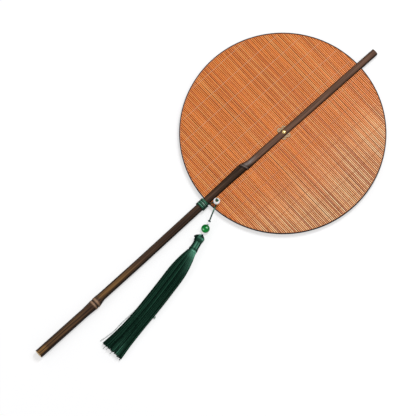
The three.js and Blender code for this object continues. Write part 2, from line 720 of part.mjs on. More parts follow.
/** The skirt of silk: fluted, curling a little sideways, its belly down on the table. */
function tasselSkirt() {
  const heading = radians(SKIRT_HEADING - TASSEL_HEADING);
  const curl = radians(SKIRT_CURL);
  const lift = dropHeight - NECK_HEIGHT / 2;
  return shaped(new THREE.CylinderGeometry(1, 1, 1, 2 * SKIRT_FLUTES, 14), (point) => {
    const share = 0.5 - point.y;
    const down = SKIRT_LENGTH * share;
    const turn = heading - curl * share;
    const arc = SKIRT_LENGTH / curl;
    const spineX = arc * (Math.cos(turn) - Math.cos(heading));
    const spineY = arc * (Math.sin(turn) - Math.sin(heading)) - skirtAt;
    const angle = Math.atan2(point.x, point.z);
    const ramp = SKIRT_FLUTE_DEPTH * THREE.MathUtils.smoothstep(down, 0, SKIRT_FLARE);
    const flute = 1 - ramp * (0.5 - 0.5 * Math.cos(SKIRT_FLUTES * angle));
    const across = point.x * skirtHalfWidth(down) * flute;
    const up = point.z * skirtHalfHeight(down) * flute;
    const off = THREE.MathUtils.lerp(lift, TABLE_GAP, THREE.MathUtils.smoothstep(down, 0, SKIRT_FLARE));
    const spineZ = off + skirtHalfHeight(down) - dropHeight;
    point.set(spineX + across * Math.cos(turn), spineY + across * Math.sin(turn), spineZ + up);
  });
}

// Assembly
const fan = new THREE.Group();
const windingStep = (2 * Math.PI * bindingRadius) / TURN_STEPS;
const binding = bindingCurve();
printLeastGap('cord_binding', binding, CORD_DIAMETER);

fan.add(
  piece('bamboo_stick', bambooStick(), DARK_BAMBOO),
  piece('splint_mat', splintMat(), SPLINT_BAMBOO),
  piece('edge_tape', edgeTape(), BLACK_TAPE),
  piece('front_flower_washer', flowerWasher(washerLow), AGED_BRASS),
  piece('back_flower_washer', flowerWasher(-washerLow - WASHER_THICKNESS), AGED_BRASS),
  piece('dome_stud', domeStud(), BRASS),
  piece('rivet_post', rivetPost(), BRASS),
  piece('cord_binding', cordTube(binding, CORD_DIAMETER, 6, windingStep), GREEN_CORD),
  piece('white_bead', whiteBead(), WHITE_GLAZE),
  piece('stopper_knot', stopperKnot(), GREEN_CORD),
  piece('pendant_cord', cordTube(pendantCurve(), CORD_DIAMETER, 8, CORD_DIAMETER), GREEN_CORD),
);
for (let i = 0; i < THREAD_COUNT; i += 1) {
  const name = `warp_thread_${String(i + 1).padStart(2, '0')}`;
  fan.add(piece(name, warpThread((i - (THREAD_COUNT - 1) / 2) * THREAD_SPACING), PALE_THREAD));
}

const drop = new THREE.Group();
drop.position.copy(knotCentre);
drop.rotation.z = radians(DROP_HEADING);
drop.add(
  piece('cord_knot', cordKnot(), GREEN_CORD),
  piece('drop_cord', dropCord(), GREEN_CORD),
  piece('upper_spacer_bead', dropBead(SPACER_RADIUS, SPACER_LENGTH / 2, upperSpacerAt, 12), WHITE_GLAZE),
  piece('jade_bead', dropBead(JADE_RADIUS, jadeHalf, jadeAt, 20), JADE),
  piece('lower_spacer_bead', dropBead(SPACER_RADIUS, SPACER_LENGTH / 2, lowerSpacerAt, 12), WHITE_GLAZE),
);
fan.add(drop);

const tassel = new THREE.Group();
tassel.position.y = -headAt;
tassel.rotation.z = radians(TASSEL_HEADING - DROP_HEADING);
const tie = tieCurve();
const tieStep = tie.getLength() / (TURN_STEPS * TIE_TURNS);
printLeastGap('neck_tie', tie, TIE_DIAMETER);
tassel.add(
  piece('tassel_head', tasselHead(), GREEN_SILK),
  piece('tassel_neck', tasselNeck(), GREEN_SILK),
  piece('neck_tie', cordTube(tie, TIE_DIAMETER, 6, tieStep), GREEN_CORD),
  piece('tassel_skirt', tasselSkirt(), GREEN_SILK),
);
drop.add(tassel);

export default fan;
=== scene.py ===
"""The looks of a rigid round hand fan: bamboo stick, splint disc, rivet, cord, beads and tassel.

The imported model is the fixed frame. Each operator makes one group of pieces as numpy surfaces in
that frame, in metres, with the stick along Y and the front face up.
"""
import json
import math

import bpy
import numpy as np
from bpy.props import FloatProperty, FloatVectorProperty, IntProperty, PointerProperty
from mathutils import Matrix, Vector


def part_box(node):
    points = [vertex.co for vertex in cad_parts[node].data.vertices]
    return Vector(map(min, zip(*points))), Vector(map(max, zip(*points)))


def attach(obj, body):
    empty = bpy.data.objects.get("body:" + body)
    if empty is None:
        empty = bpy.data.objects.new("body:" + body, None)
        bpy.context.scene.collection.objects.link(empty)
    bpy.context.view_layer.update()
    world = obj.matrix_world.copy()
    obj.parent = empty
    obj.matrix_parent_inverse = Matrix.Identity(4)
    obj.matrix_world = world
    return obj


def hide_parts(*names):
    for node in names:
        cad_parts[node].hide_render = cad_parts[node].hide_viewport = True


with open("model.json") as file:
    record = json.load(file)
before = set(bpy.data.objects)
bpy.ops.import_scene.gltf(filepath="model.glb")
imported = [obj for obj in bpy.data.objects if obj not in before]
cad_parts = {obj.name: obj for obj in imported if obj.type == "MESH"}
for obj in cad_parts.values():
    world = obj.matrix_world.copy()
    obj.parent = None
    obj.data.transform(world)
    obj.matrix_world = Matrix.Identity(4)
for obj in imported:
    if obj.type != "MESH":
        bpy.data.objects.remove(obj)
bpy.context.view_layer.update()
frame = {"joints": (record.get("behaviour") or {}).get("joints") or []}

bl_info = {
    "name": "Round Hand Fan",
    "version": (1, 0, 0),
    "blender": (4, 5, 0),
    "location": "View3D > Sidebar > Fan",
    "description": "Builds the pieces of a round bamboo hand fan around its fixed frame",
    "category": "Add Mesh",
}

MM = 0.001
TURN = 2 * math.pi
UP = np.array([0.0, 0.0, 1.0])


def middle(node):
    """Centre of a node's box."""
    low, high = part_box(node)
    return (np.array(low) + np.array(high)) / 2


def extent(node):
    """Size of a node's box along X, Y and Z."""
    low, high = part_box(node)
    return np.array(high) - np.array(low)


# Places read from the frame
JOINTS = {joint["name"]: joint for joint in frame["joints"]}
DISC = middle("edge_tape")
DISC_RADIUS = extent("edge_tape")[0] / 2
TAPE_HALF = extent("edge_tape")[2] / 2
STICK_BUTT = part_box("bamboo_stick")[0][1]
STICK_LENGTH = extent("bamboo_stick")[1]
RIVET = middle("dome_stud")
RIVET_ALONG = RIVET[1] - STICK_BUTT
WASHER_HALF = extent("front_flower_washer")[2] / 2
WHITE_BEAD = middle("white_bead")
WHITE_RADIUS = extent("white_bead")[0] / 2
WHITE_HALF = extent("white_bead")[2] / 2
JADE = middle("jade_bead")
KNOT = np.array(JOINTS["drop_lift"]["pos_m"])
KNOT_RADIUS = extent("cord_knot")[2] / 2
DROP = np.array(JOINTS["bead_stack_spin"]["axis"])
TASSEL_TOP = np.array(JOINTS["tassel_sway"]["pos_m"])

# Bamboo stick: [distance from the butt, radius] and [distance from the butt, sideways lean], in
# millimetres
STICK_RADII = (
    (0, 5.45), (72, 5.45), (80.5, 5.88), (87, 6.3), (91.5, 6.3), (98, 5.1), (252, 4.85), (264, 4.85),
    (305, 5.25), (313.5, 5.55), (319.5, 5.85), (324, 5.7), (331, 4.6), (381, 4.25), (388, 4.25),
    (468, 4.6), (529, 4.35),
)
STICK_LEANS = (
    (0, 1.05), (89, 1.4), (98, 0.3), (158, 0.3), (322, -1.15), (331, 0.5), (384, 0.6), (468, 1.2),
    (529, 1.65),
)
LOWER_NODE = 87.6 * MM
UPPER_NODE = 322 * MM
UPPER_NODE_SKEW = 2.2 * MM
# Rises and hollows at the two nodes, and the pale scars and dark creases there, the upper scar
# partly a painted highlight: [strength, distance from the node, width], the last two in millimetres
LOWER_RIDGES = ((0.22, -2.3, 0.9), (0.16, 2.3, 1.5), (-0.32, 0, 1.0))
UPPER_RIDGES = ((0.28, 1.4, 0.8), (-0.28, -0.6, 0.9))
LOWER_SCARS = ((1.0, -2.3, 1.0), (0.9, 2.3, 1.4))
UPPER_SCAR_AND_HIGHLIGHT = ((0.75, 1.4, 0.8),)
LOWER_CREASES = ((0.7, 0, 0.8),)
UPPER_CREASES = ((0.85, -0.9, 1.1),)
# Golden stretches of the rind: [strength, where it starts and is full, where it fades and ends], in
# millimetres from the butt
GOLD_STRETCHES = ((1.0, -2, -1, 9, 16), (0.26, -2, -1, 60, 84), (0.6, 92, 98, 118, 170))
# The branch groove in the same way, and the grey scar in it, partly a painted highlight, from the upper
# node
GROOVE_STRETCH = (331, 336, 343, 375)
SCAR_AND_HIGHLIGHT_STRETCH = (2, 5, 10, 26)
GROOVE_AT = math.radians(-5)
GROOVE_DEPTH = 0.75
# Rounding of the corners between stations, and the distance between rows
STICK_EASE = 1.4 * MM
STICK_STEP = 0.8 * MM
# A cut end closes over its section: [share of the section, inset]
CUT_CLOSING = np.array([0.02, 0.3, 0.6, 0.9, 0.965, 1.0])
CUT_INSET = np.array([0.12, 0.05, 0.0, 0.0, 0.1, 0.4]) * MM
SPLIT_ALONG = 258 * MM
SPLIT_HALF = 1.575 * MM
SPOT_RADIUS = 2.7 * MM
SPOT_HEIGHT = 3.75 * MM

# Disc
SPLINT_PITCH = 1.95 * MM
SPLINT_COUNT = 122
SPLINT_WANDER = 0.01 * MM
SPLINT_LEAST_HALF = 4 * MM
# Half of a splint's section from its crown down to its foot: [share of half width, share of half
# thickness, share of the painted shade in the hollow beside it]
SPLINT_SECTION = (
    (0.0, 1.0, 0.0), (0.18, 0.993, 0.0), (0.34, 0.96, 0.06), (0.48, 0.82, 0.9), (0.97, 0.1, 1.0),
    (0.97, -0.1, 1.0), (0.48, -0.82, 0.9), (0.34, -0.96, 0.06), (0.18, -0.993, 0.0), (0.0, -1.0, 0.0),
)
HOOP_INNER = DISC_RADIUS - 1.65 * MM
HOOP_OUTER = DISC_RADIUS - 0.65 * MM
HOOP_HALF = 0.5 * MM
HOOP_RIDGE = 0.675 * MM
TAPE_THICKNESS = 0.4 * MM
TAPE_LAP = 1.05 * MM
TAPE_FOLD = 0.5 * MM
THREAD_SPACING = 20 * MM
THREAD_COUNT = 12
THREAD_RISE = 0.93 * MM
THREAD_SWAY = 0.24 * MM
THREAD_FLATNESS = 2.2

# Rivet and washers
STUD_RADIUS = 2.4 * MM
STUD_HEIGHT = 1.9 * MM
STUD_RIM = 0.4 * MM
STUD_EASE = 0.12 * MM
POST_RADIUS = 1.0 * MM
POST_EASE = 0.15 * MM
BACK_HEAD_HEIGHT = 1.0 * MM
SOCKET_RADIUS = POST_RADIUS + 0.3 * MM
SOCKET_DEPTH = 1.1 * MM
# Radius of the small face that closes a turned piece at its pole
POLE_RADIUS = 0.05 * MM
PETAL_COUNT = 6
PETAL_REACH = 5.5 * MM
PETAL_RADIUS = 2.95 * MM
PETAL_HOLE_REACH = 5.9 * MM
PETAL_HOLE_RADIUS = 0.75 * MM
PETAL_TURN = math.radians(19)
# A petal's sheet: [share of the way from its hole to its bounds, share of the half thickness]
PETAL_SHEET = ((0, 0.8), (0.12, 1.0), (0.3, 0.62), (0.7, 0.62), (0.88, 1.0), (1.0, 0.8))
WASHER_BORE = 1.3 * MM

# Cord
CORD_RADIUS = 0.6 * MM
PLY_DEPTH = 0.2
STRAND_OFFSET = 0.75 * MM
BEND_RADIUS = 2.4 * MM
LAY_HEIGHT = JOINTS["pendant_swing"]["pos_m"][2]
STRAND_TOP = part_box("pendant_cord")[1][2]
BINDING_RADIUS = 5.7 * MM
BINDING_PITCH = 1.7 * MM
BINDING_TURNS = 5.5
BINDING_TOP = 262.6 * MM
BINDING_LEAVE = math.radians(50)
# The painted glint on one turn: [place, width] across and along the stick, and how pale it is
GLINT_ACROSS = (0.9 * MM, 2.4 * MM)
GLINT_ALONG = (-6.0 * MM, 0.65 * MM)
GLINT_DEPTH = 0.75
# The tail's way past the disc's edge, in millimetres from the strand, the handle's end and the lay
TAIL_POINTS = ((-2.7, -0.4, 0.5), (-2.8, 3.0, 0.1))
HANDLE_LENGTH = 264 * MM
# The pendant cord: lifted outside the bead, and pressed thinner in it
PENDANT_RADIUS = 0.85 * MM
PENDANT_LIFT = 0.15 * MM
PENDANT_PRESS = 0.8
BEAD_CLEAR = (3 * MM, 6 * MM)
PENDANT_STEP = 0.3 * MM
PENDANT_HEADING = math.radians(24.4)
PENDANT_LAY = 14 * MM
# Its painted shade, and the painted highlight where it bends over the rim: [depth, distance from the
# rim, width], in millimetres
PENDANT_SHADE = 0.92
RIM_HIGHLIGHT = ((0.65, 1.2, 1.6),)
# Knots: how far each is stretched along its own three directions, and the short end that sticks
# out of the bead's knot
PENDANT_KNOT_INSET = 0.47 * MM
PENDANT_KNOT_STRAND = 0.5 * MM
PENDANT_KNOT_STRETCH = (1.5, 0.93, 1.0)
BEAD_KNOT_STRETCH = (1.2, 0.85, 1.0)
BEAD_KNOT_SHIFT = np.array([0.0, 0.6 * MM, 0.0])
STUB_POINTS = np.array([[0, -1.2, 0.2], [0.1, -2.6, -0.1]]) * MM
STUB_RADIUS = 0.4 * MM

# Beads
BEAD_HOLE = 1.917 * MM
MOUTH_EASE = 0.08
DROP_BORE = 0.9 * MM
SEAT_GAP = 0.25 * MM
SPACER_HALF = 1.5 * MM
# Painted highlights on the stone, as pale flecks: [the way each one faces, its width in radians]
JADE_HIGHLIGHTS = (((0.24, 0.27, 0.93), 0.18), ((-0.07, -0.62, 0.78), 0.17))
HIGHLIGHT_DEPTH = 0.8

# Tassel
TASSEL_HEADING = math.radians(15.4)
HEAD_LENGTH = 9.6 * MM
HEAD_WIDTH = 10.8 * MM
HEAD_DOME = 4.5 * MM
HEAD_HEIGHT = 9.2 * MM
NECK_AT = 9.85 * MM
NECK_LENGTH = 13 * MM
NECK_STRAIGHT = 4.3 * MM
NECK_WIDTH = 9.5 * MM
NECK_END_WIDTH = 10.6 * MM
NECK_HEIGHT = 8.2 * MM
NECK_SHIFT = 0.3 * MM
SKIRT_AT = 23.1 * MM
SKIRT_LENGTH = 148.5 * MM
SKIRT_HEADING = math.radians(13.1)
SKIRT_CURL = math.radians(8)
SKIRT_BODY_WIDTH = 21.4 * MM
SKIRT_BODY_HEIGHT = 9.6 * MM
SKIRT_END_WIDTH = 28 * MM
SKIRT_END_HEIGHT = 7 * MM
SKIRT_FLARE = 36 * MM
SKIRT_SPREAD = 56 * MM
TIE_RADIUS = 0.3 * MM
TIE_PITCH = 1.1 * MM
TIE_TURNS = 2
TIE_LAY = 1.4 * MM
TIE_INSET = 2.2 * MM
# Painted sheen on the neck below its tie: where that starts and is full, from the neck's top
BELOW_TIE = np.array([10.6, 11.6]) * MM
# Folds of silk on the head: [place across, place down, lead in degrees, half length, half width],
# the rest in millimetres
HEAD_LOBES = ((-4.4, 4.3, 41, 3.5, 1.7), (-4.5, 7.8, -80, 2.8, 1.1), (1.4, 1.8, -58, 2.8, 1.5))
LOBE_HEIGHT = 2.3 * MM
LOBE_HALF_HEIGHT = 2.1 * MM
# The loop on the head: its middle and its swing across, down and up
LOOP_MIDDLE = (-1.2 * MM, 3.2 * MM, 3.6 * MM)
LOOP_REACH = (0.7 * MM, -2.4 * MM, -0.8 * MM)
LOOP_RADIUS = 0.5 * MM
LOOP_LAY = 3 * MM
# The skirt's lowest point over the table, and the least height of a strand's middle
BELLY_LIFT = 0.1 * MM
STRAND_LIFT = 0.32 * MM
# Loose strands: [share of the skirt where each leaves it, bow, kick, tone], bow and kick in
# millimetres
STRAYS = ((0.6, 2.6, 4.2, 0.8), (0.64, 2.0, 3.4, 0.6))
STRAY_RADIUS = 0.15 * MM
# Curls of the tuft: [size, place from the tuft's middle], in millimetres
TUFT_CURLS = ((0.55, -0.7), (0.75, 0.4), (0.95, -0.2), (1.1, 0.8))
TUFT_RADIUS = 0.25 * MM
TUFT_AT = 0.582 * SKIRT_LENGTH

# Stage
FLOOR_GLOW = 0.57
FLOOR_HALF = 6.0
SENSOR_WIDTH = 36
CLIP_RANGE = (0.01, 60)


def shade(red, green, blue):
    """Linear colour from display values of 0 to 255."""
    display = np.array([red, green, blue]) / 255
    linear = np.where(display <= 0.04045, display / 12.92, ((display + 0.055) / 1.055) ** 2.4)
    return tuple(float(value) for value in linear)


# Properties

def colour(name, description, red, green, blue):
    """A colour property from display values."""
    return FloatVectorProperty(
        name=name, description=description, subtype="COLOR", size=3, min=0, max=1,
        default=shade(red, green, blue),
    )


def length(name, description, millimetres):
    """A length property."""
    return FloatProperty(
        name=name, description=description, unit="LENGTH", min=0, precision=5,
        default=millimetres * MM,
    )


class FanStickSettings(bpy.types.PropertyGroup):
    """The bamboo stick."""
    rind: colour("Rind", "Dark smoked rind", 44, 30, 22)
    rind_light: colour("Light rind", "Paler streaks in the rind", 88, 65, 49)
    worn: colour("Worn rind", "Grey-brown rind above the upper node", 113, 83, 67)
    gold: colour("Gold", "Golden streaks near the butt", 152, 112, 62)
    ridge: colour("Ridge", "Pale scar along the node ridges", 196, 158, 128)
    cut: colour("Cut", "Pale wood of the cut ends", 226, 196, 146)


class FanDiscSettings(bpy.types.PropertyGroup):
    """The splints, their threads and the taped edge."""
    splint_width: length("Splint width", "Width of one bamboo splint", 2.32)
    splint_thickness: length("Splint thickness", "Thickness of one bamboo splint", 1.2)
    thread_width: length("Thread width", "Thickness of one strand of warp thread", 0.42)
    splint: colour("Splint", "Body colour of the splints", 248, 139, 55)
    splint_pale: colour("Pale splint", "Pale splints and streaks", 250, 165, 88)
    splint_dark: colour("Dark splint", "Red-brown splints and streaks", 200, 98, 42)
    # Painted shade in the hollow between two splints.
    seam: colour("Seam", "Dark hollow between two splints", 44, 14, 6)
    thread: colour("Thread", "Warp thread", 240, 196, 154)
    tape: colour("Tape", "Edge tape", 24, 21, 20)


class FanMetalSettings(bpy.types.PropertyGroup):
    """The rivet and its washers."""
    brass: colour("Brass", "Polished brass", 202, 184, 128)
    aged: colour("Aged brass", "Antique brass of the flower washers", 128, 106, 78)


class FanCordSettings(bpy.types.PropertyGroup):
    """The green cord and the beads."""
    cord: colour("Cord", "Body colour of the cord", 66, 130, 105)
    cord_light: colour("Cord sheen", "Lit side of the cord's strands", 140, 212, 180)
    white: colour("White bead", "White glaze", 254, 254, 253)
    jade: colour("Jade", "Green stone", 0, 86, 24)
    # Also the painted light towards the stone's lower end.
    jade_light: colour("Light jade", "Paler clouds in the stone", 0, 154, 56)
    lay: length("Lay", "Length of one turn of the cord's twist", 2.6)


class FanTasselSettings(bpy.types.PropertyGroup):
    """The silk tassel."""
    strands: IntProperty(
        name="Strands", description="Strands in the skirt", default=620, min=60, max=1500)
    strand_width: length("Strand width", "Thickness of one strand", 0.5)
    silk: colour("Silk", "Dark body of the strands", 7, 26, 18)
    silk_mid: colour("Silk mid", "Paler strands", 46, 90, 71)
    # Painted sheen: below the tie, on the head and on the +X side.
    silk_painted_sheen: colour("Silk sheen", "Strands stretched tight below the tie", 104, 172, 144)


class FanStageSettings(bpy.types.PropertyGroup):
    """Camera, floor and lamps."""
    azimuth: FloatProperty(
        name="Azimuth", description="Camera's turn round the fan", subtype="ANGLE",
        default=math.radians(47.23))
    elevation: FloatProperty(
        name="Elevation", description="Camera's height over the table", subtype="ANGLE",
        default=math.radians(76.7))
    aim: FloatVectorProperty(
        name="Aim", description="Point at the middle of the picture", subtype="TRANSLATION",
        size=3, default=(6.58 * MM, -4.5 * MM, 6.5 * MM))
    view_width: length("View width", "Width of the picture at the aim", 480.3)
    lens: FloatProperty(
        name="Lens", description="Focal length in millimetres", default=600, min=10, unit="CAMERA")
    floor: colour("Floor", "Pale table top", 181, 181, 182)
    key: FloatProperty(name="Key", description="Power of the main lamp", default=8.2, unit="POWER")
    fill: FloatProperty(name="Fill", description="Power of the second lamp", default=2.4, unit="POWER")
    side: FloatProperty(name="Side", description="Power of the third lamp", default=1.7, unit="POWER")
    sky: FloatProperty(name="Sky", description="Strength of the even light", default=0.42, min=0)


# Meshes

def sleeve_faces(start, count, rows, columns, ring):
    """Faces of like sleeves laid one after another: quads between neighbouring rows of a closed
    section, and one face over each open end."""
    first = start + np.arange(count)[:, None, None] * rows * columns
    row = np.arange(rows if ring else rows - 1)[None, :, None]
    column = np.arange(columns)[None, None, :]
    near, far = first + row * columns, first + (row + 1) % rows * columns
    beside = (column + 1) % columns
    corners = np.broadcast_arrays(near + column, near + beside, far + beside, far + column)
    quads = np.stack(corners, axis=-1).reshape(-1, 4).tolist()
    if ring:
        return quads
    near_end = first[:, 0] + np.arange(columns)[::-1]
    far_end = first[:, 0] + (rows - 1) * columns + np.arange(columns)
    return quads + near_end.tolist() + far_end.tolist()


def sleeve(points, ring=False, **marks):
    """One or more closed-section surfaces with named marks on their points.

    Points has the shape (rows, columns, 3) or (count, rows, columns, 3). A section runs round
    from its first direction to its second, whose cross product is the way that the rows run.
    """
    points = np.asarray(points, float)
    if points.ndim == 3:
        points = points[None]
    marks = {
        name: np.broadcast_to(value, points.shape[:3]).ravel() for name, value in marks.items()}
    return {"points": points, "ring": ring, "marks": marks}


def evenly_shaded(part, value):
    """A sleeve of cord with one depth of painted shade all over."""
    part["marks"]["shaded"] = np.full(part["points"].size // 3, value)
    return part


def add_object(name, data):
    """A new object in the scene."""
    item = bpy.data.objects.new(name, data)
    bpy.context.scene.collection.objects.link(item)
    return item


def look_along(item, way):
    """Turns a camera or lamp to look along a direction."""
    item.rotation_mode = "QUATERNION"
    item.rotation_quaternion = way.to_track_quat("-Z", "Y")


def make_piece(name, sleeves, finish, body, nodes, sharp=40):
    """A piece of the object from sleeves, smooth but for edges sharper than an angle in degrees."""
    vertices, faces, start = [], [], 0
    for part in sleeves:
        vertices.append(part["points"].reshape(-1, 3))
        faces += sleeve_faces(start, *part["points"].shape[:3], part["ring"])
        start += len(vertices[-1])
    mesh = bpy.data.meshes.new(name)
    mesh.from_pydata(np.concatenate(vertices), [], faces)
    for mark in sorted({mark for part in sleeves for mark in part["marks"]}):
        blank = [np.zeros(part["points"].size // 3) for part in sleeves]
        values = np.concatenate(
            [part["marks"].get(mark, empty) for part, empty in zip(sleeves, blank)])
        layer = mesh.attributes.new(mark, "FLOAT", "POINT")
        layer.data.foreach_set("value", values.astype(np.float32))
    mesh.shade_smooth()
    mesh.set_sharp_from_angle(angle=math.radians(sharp))
    mesh.materials.append(finish)
    piece = add_object(name, mesh)
    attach(piece, body)
    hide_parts(*nodes)
    return piece


def unit(vectors):
    """Vectors brought to length one."""
    vectors = np.asarray(vectors, float)
    return vectors / np.linalg.norm(vectors, axis=-1, keepdims=True)


def smoothstep(value, low, high):
    """0 below low, 1 above high, and a smooth rise between."""
    share = np.clip((value - low) / (high - low), 0, 1)
    return share * share * (3 - 2 * share)


def blend(first, second, share):
    """A share of the way from first to second."""
    return first + (second - first) * share


def bell(value, centre, width):
    """A smooth hump of height one."""
    return np.exp(-(((value - centre) / width) ** 2))


def humps(table, along):
    """A sum of smooth humps: [height, place, width], the last two in millimetres."""
    return sum(height * bell(along, place * MM, width * MM) for height, place, width in table)


def stretch(along, start, full, fade, end):
    """One between full and fade, nothing before start and after end, in millimetres."""
    return smoothstep(along, start * MM, full * MM) * (1 - smoothstep(along, fade * MM, end * MM))


def angles(count):
    """Angles evenly round a turn."""
    return np.arange(count) * TURN / count


def spokes(side, other, columns):
    """Directions evenly round a line, from its side and second directions."""
    around = angles(columns)[:, None]
    return np.cos(around) * side[..., None, :] + np.sin(around) * other[..., None, :]


def turned(profile, origin, axis, columns):
    """A surface of revolution: [radius, height] points carried round an axis through origin."""
    axis = unit(axis)
    side = unit(np.cross(UP, axis)) if abs(axis[2]) < 0.9 else np.array([1.0, 0.0, 0.0])
    spoke = spokes(side, np.cross(axis, side), columns)
    radius, height = np.asarray(profile, float).T[..., None, None]
    return origin + radius * spoke + height * axis


def turned_ring(profile, origin, axis, columns):
    """A closed profile turned about an axis: rows run back round it, sections are the profile."""
    return np.swapaxes(turned(profile, origin, axis, columns), 0, 1)[::-1]


def bead_profile(radius, bore, half, rows):
    """A closed profile of a bored round bead: an arc outside, a straight bore, eased mouths."""
    limit = math.acos(bore / radius)
    bulge = half / math.sin(limit)
    around = np.linspace(-limit, limit, rows)
    outside = np.stack([radius * np.cos(around), bulge * np.sin(around)], axis=1)
    ease = MOUTH_EASE * half
    mouth = np.array([[bore - 0.3 * ease, half - 0.4 * ease], [bore - 0.45 * ease, half - 2 * ease]])
    return np.concatenate([outside, mouth, mouth[::-1] * [1, -1]])


def curve_through(points, per_span=24):
    """A centripetal Catmull-Rom curve: each span is a cubic whose end slopes come from the chords
    beside it, weighed by the square roots of their lengths."""
    points = np.asarray(points, float)
    ends = np.vstack([2 * points[0] - points[1], points, 2 * points[-1] - points[-2]])
    gaps = np.sqrt(np.linalg.norm(np.diff(ends, axis=0), axis=1))[:, None]
    g0, g1, g2 = gaps[:-2], gaps[1:-1], gaps[2:]
    a, b, c, d = ends[:-3], ends[1:-2], ends[2:-1], ends[3:]
    leave = (((b - a) / g0 - (c - a) / (g0 + g1) + (c - b) / g1) * g1)[:, None]
    arrive = (((c - b) / g1 - (d - b) / (g1 + g2) + (d - c) / g2) * g1)[:, None]
    t = np.linspace(0, 1, per_span, endpoint=False)[None, :, None]
    b, c = b[:, None], c[:, None]
    spans = (
        (2 * t**3 - 3 * t**2 + 1) * b + (t**3 - 2 * t**2 + t) * leave
        + (3 * t**2 - 2 * t**3) * c + (t**3 - t**2) * arrive
    )
    return np.vstack([spans.reshape(-1, 3), points[-1]])


def spaced(line, step):
    """Points evenly along a line, about a step apart, and their distances from its start."""
    run = np.concatenate([[0], np.cumsum(np.linalg.norm(np.diff(line, axis=0), axis=1))])
    along = np.linspace(0, run[-1], max(2, round(run[-1] / step) + 1))
    return np.stack([np.interp(along, run, line[:, i]) for i in range(3)], axis=1), along


def carried_frames(line, ring=False):
    """Side and second directions that turn with a line as little as they can."""
    if ring:
        tangents = unit(np.roll(line, -1, axis=0) - np.roll(line, 1, axis=0))
    else:
        tangents = unit(np.gradient(line, axis=0))
    reference = np.eye(3)[np.argmin(np.abs(tangents[0]))]
    side = unit(np.cross(reference, tangents[0]))
    sides = []
    for tangent in tangents:
        side = unit(side - tangent * (side @ tangent))
        sides.append(side)
    sides = np.array(sides)
    return sides, np.cross(tangents, sides)


def rope(line, radius, lay, step, plies=3, columns=12, ring=False):
    """A laid cord: a round section with a lobe for each ply, turning once in each lay."""
    line, along = spaced(line, step)
    if ring:
        line, along = line[:-1], along[:-1]
        lay = (along[-1] + step) / max(1, round((along[-1] + step) / lay))
    sides, others = carried_frames(line, ring)
    around = angles(columns)[None, :]
    lobe = np.abs(np.cos(plies / 2 * (around - TURN * along[:, None] / lay))) ** 0.7
    reach = (radius * (1 - PLY_DEPTH + PLY_DEPTH * lobe))[..., None]
    return sleeve(line[:, None] + reach * spokes(sides, others, columns), ring, lobe=lobe)


def trefoil(radius, strand, rise):
    """The closed line of an overhand knot: waves of one and two turns add up to three lobes, and a
    wave of three turns takes them over and under each other."""
    t = angles(180)
    reach = (radius - strand) / 3
    return np.stack([
        reach * (np.sin(t) + 2 * np.sin(2 * t)),
        reach * (np.cos(t) - 2 * np.cos(2 * t)),
        -rise * np.sin(3 * t),
    ], axis=1)


def knotted(line, radius, lay, step, shaded):
    """A knot: a rope along a closed line, with even painted shade."""
    knot = rope(np.vstack([line, line[:1]]), radius, lay, step, columns=9, ring=True)
    return evenly_shaded(knot, shaded)


# Materials

class Finish:
    """A material built node by node towards its surface shader."""

    def __init__(self, name, base, roughness, **constants):
        self.base = base
        self.material = bpy.data.materials.new(name)
        self.material.use_nodes = True
        self.tree = self.material.node_tree
        self.surface = self.tree.nodes["Principled BSDF"]
        self.coordinates = self.add("ShaderNodeTexCoord").outputs["Object"]
        for socket, value in {"roughness": roughness, **constants}.items():
            label = socket.replace("_", " ").title().replace("Ior", "IOR")
            self.surface.inputs[label].default_value = value

    def add(self, kind, sockets=None, **settings):
        """A node with its settings, and its sockets set or linked."""
        node = self.tree.nodes.new(kind)
        for name, value in settings.items():
            setattr(node, name, value)
        for socket, value in (sockets or {}).items():
            self.put(node.inputs[socket], value)
        return node

    def put(self, socket, value):
        """Links a socket, or sets its value."""
        if isinstance(value, bpy.types.NodeSocket):
            self.tree.links.new(value, socket)
        else:
            socket.default_value = value

    def noise(self, detail, *scale):
        """Noise with one scale, or its own along X, Y and Z."""
        if len(scale) == 1:
            scale = scale * 3
        place = self.add("ShaderNodeMapping", {"Vector": self.coordinates, "Scale": scale})
        sockets = {"Vector": place.outputs["Vector"], "Scale": 1.0, "Detail": detail, "Roughness": 0.55}
        return self.add("ShaderNodeTexNoise", sockets).outputs["Fac"]

    def across(self):
        """The place across the stick."""
        return self.add("ShaderNodeSeparateXYZ", {"Vector": self.coordinates}).outputs["X"]

    def mark(self, name):
        """A mark carried by the piece's points."""
        return self.add("ShaderNodeAttribute", attribute_name=name).outputs["Fac"]

    def ramp(self, value, low, high, bottom=0.0, top=1.0):
        """A value spread from one range to another and clamped."""
        sockets = {"Value": value, "From Min": low, "From Max": high, "To Min": bottom, "To Max": top}
        return self.add("ShaderNodeMapRange", sockets).outputs["Result"]

    def math(self, operation, first, second):
        """A sum, product or other step on two values."""
        return self.add("ShaderNodeMath", {0: first, 1: second}, operation=operation).outputs["Value"]

    def times(self, first, second):
        """The product of two values."""
        return self.math("MULTIPLY", first, second)

    def mix(self, factor, first, second):
        """A colour between two colours."""
        first, second = (
            value if isinstance(value, bpy.types.NodeSocket) else (*value, 1.0)
            for value in (first, second)
        )
        node = self.add(
            "ShaderNodeMix", {0: factor, 6: first, 7: second}, data_type="RGBA", clamp_factor=True)
        return node.outputs[2]

    def cover(self, factor, colour):
        """Lays a colour over the base."""
        self.base = self.mix(factor, self.base, colour)

    def finish(self, height=None, strength=0.0, distance=0.0, roughness=None):
        """Sets the base colour, bump and uneven roughness, and gives the material."""
        self.put(self.surface.inputs["Base Color"], self.base)
        if roughness is not None:
            self.put(self.surface.inputs["Roughness"], roughness)
        if height is not None:
            sockets = {"Height": height, "Strength": strength, "Distance": distance}
            bump = self.add("ShaderNodeBump", sockets)
            self.put(self.surface.inputs["Normal"], bump.outputs["Normal"])
        return self.material


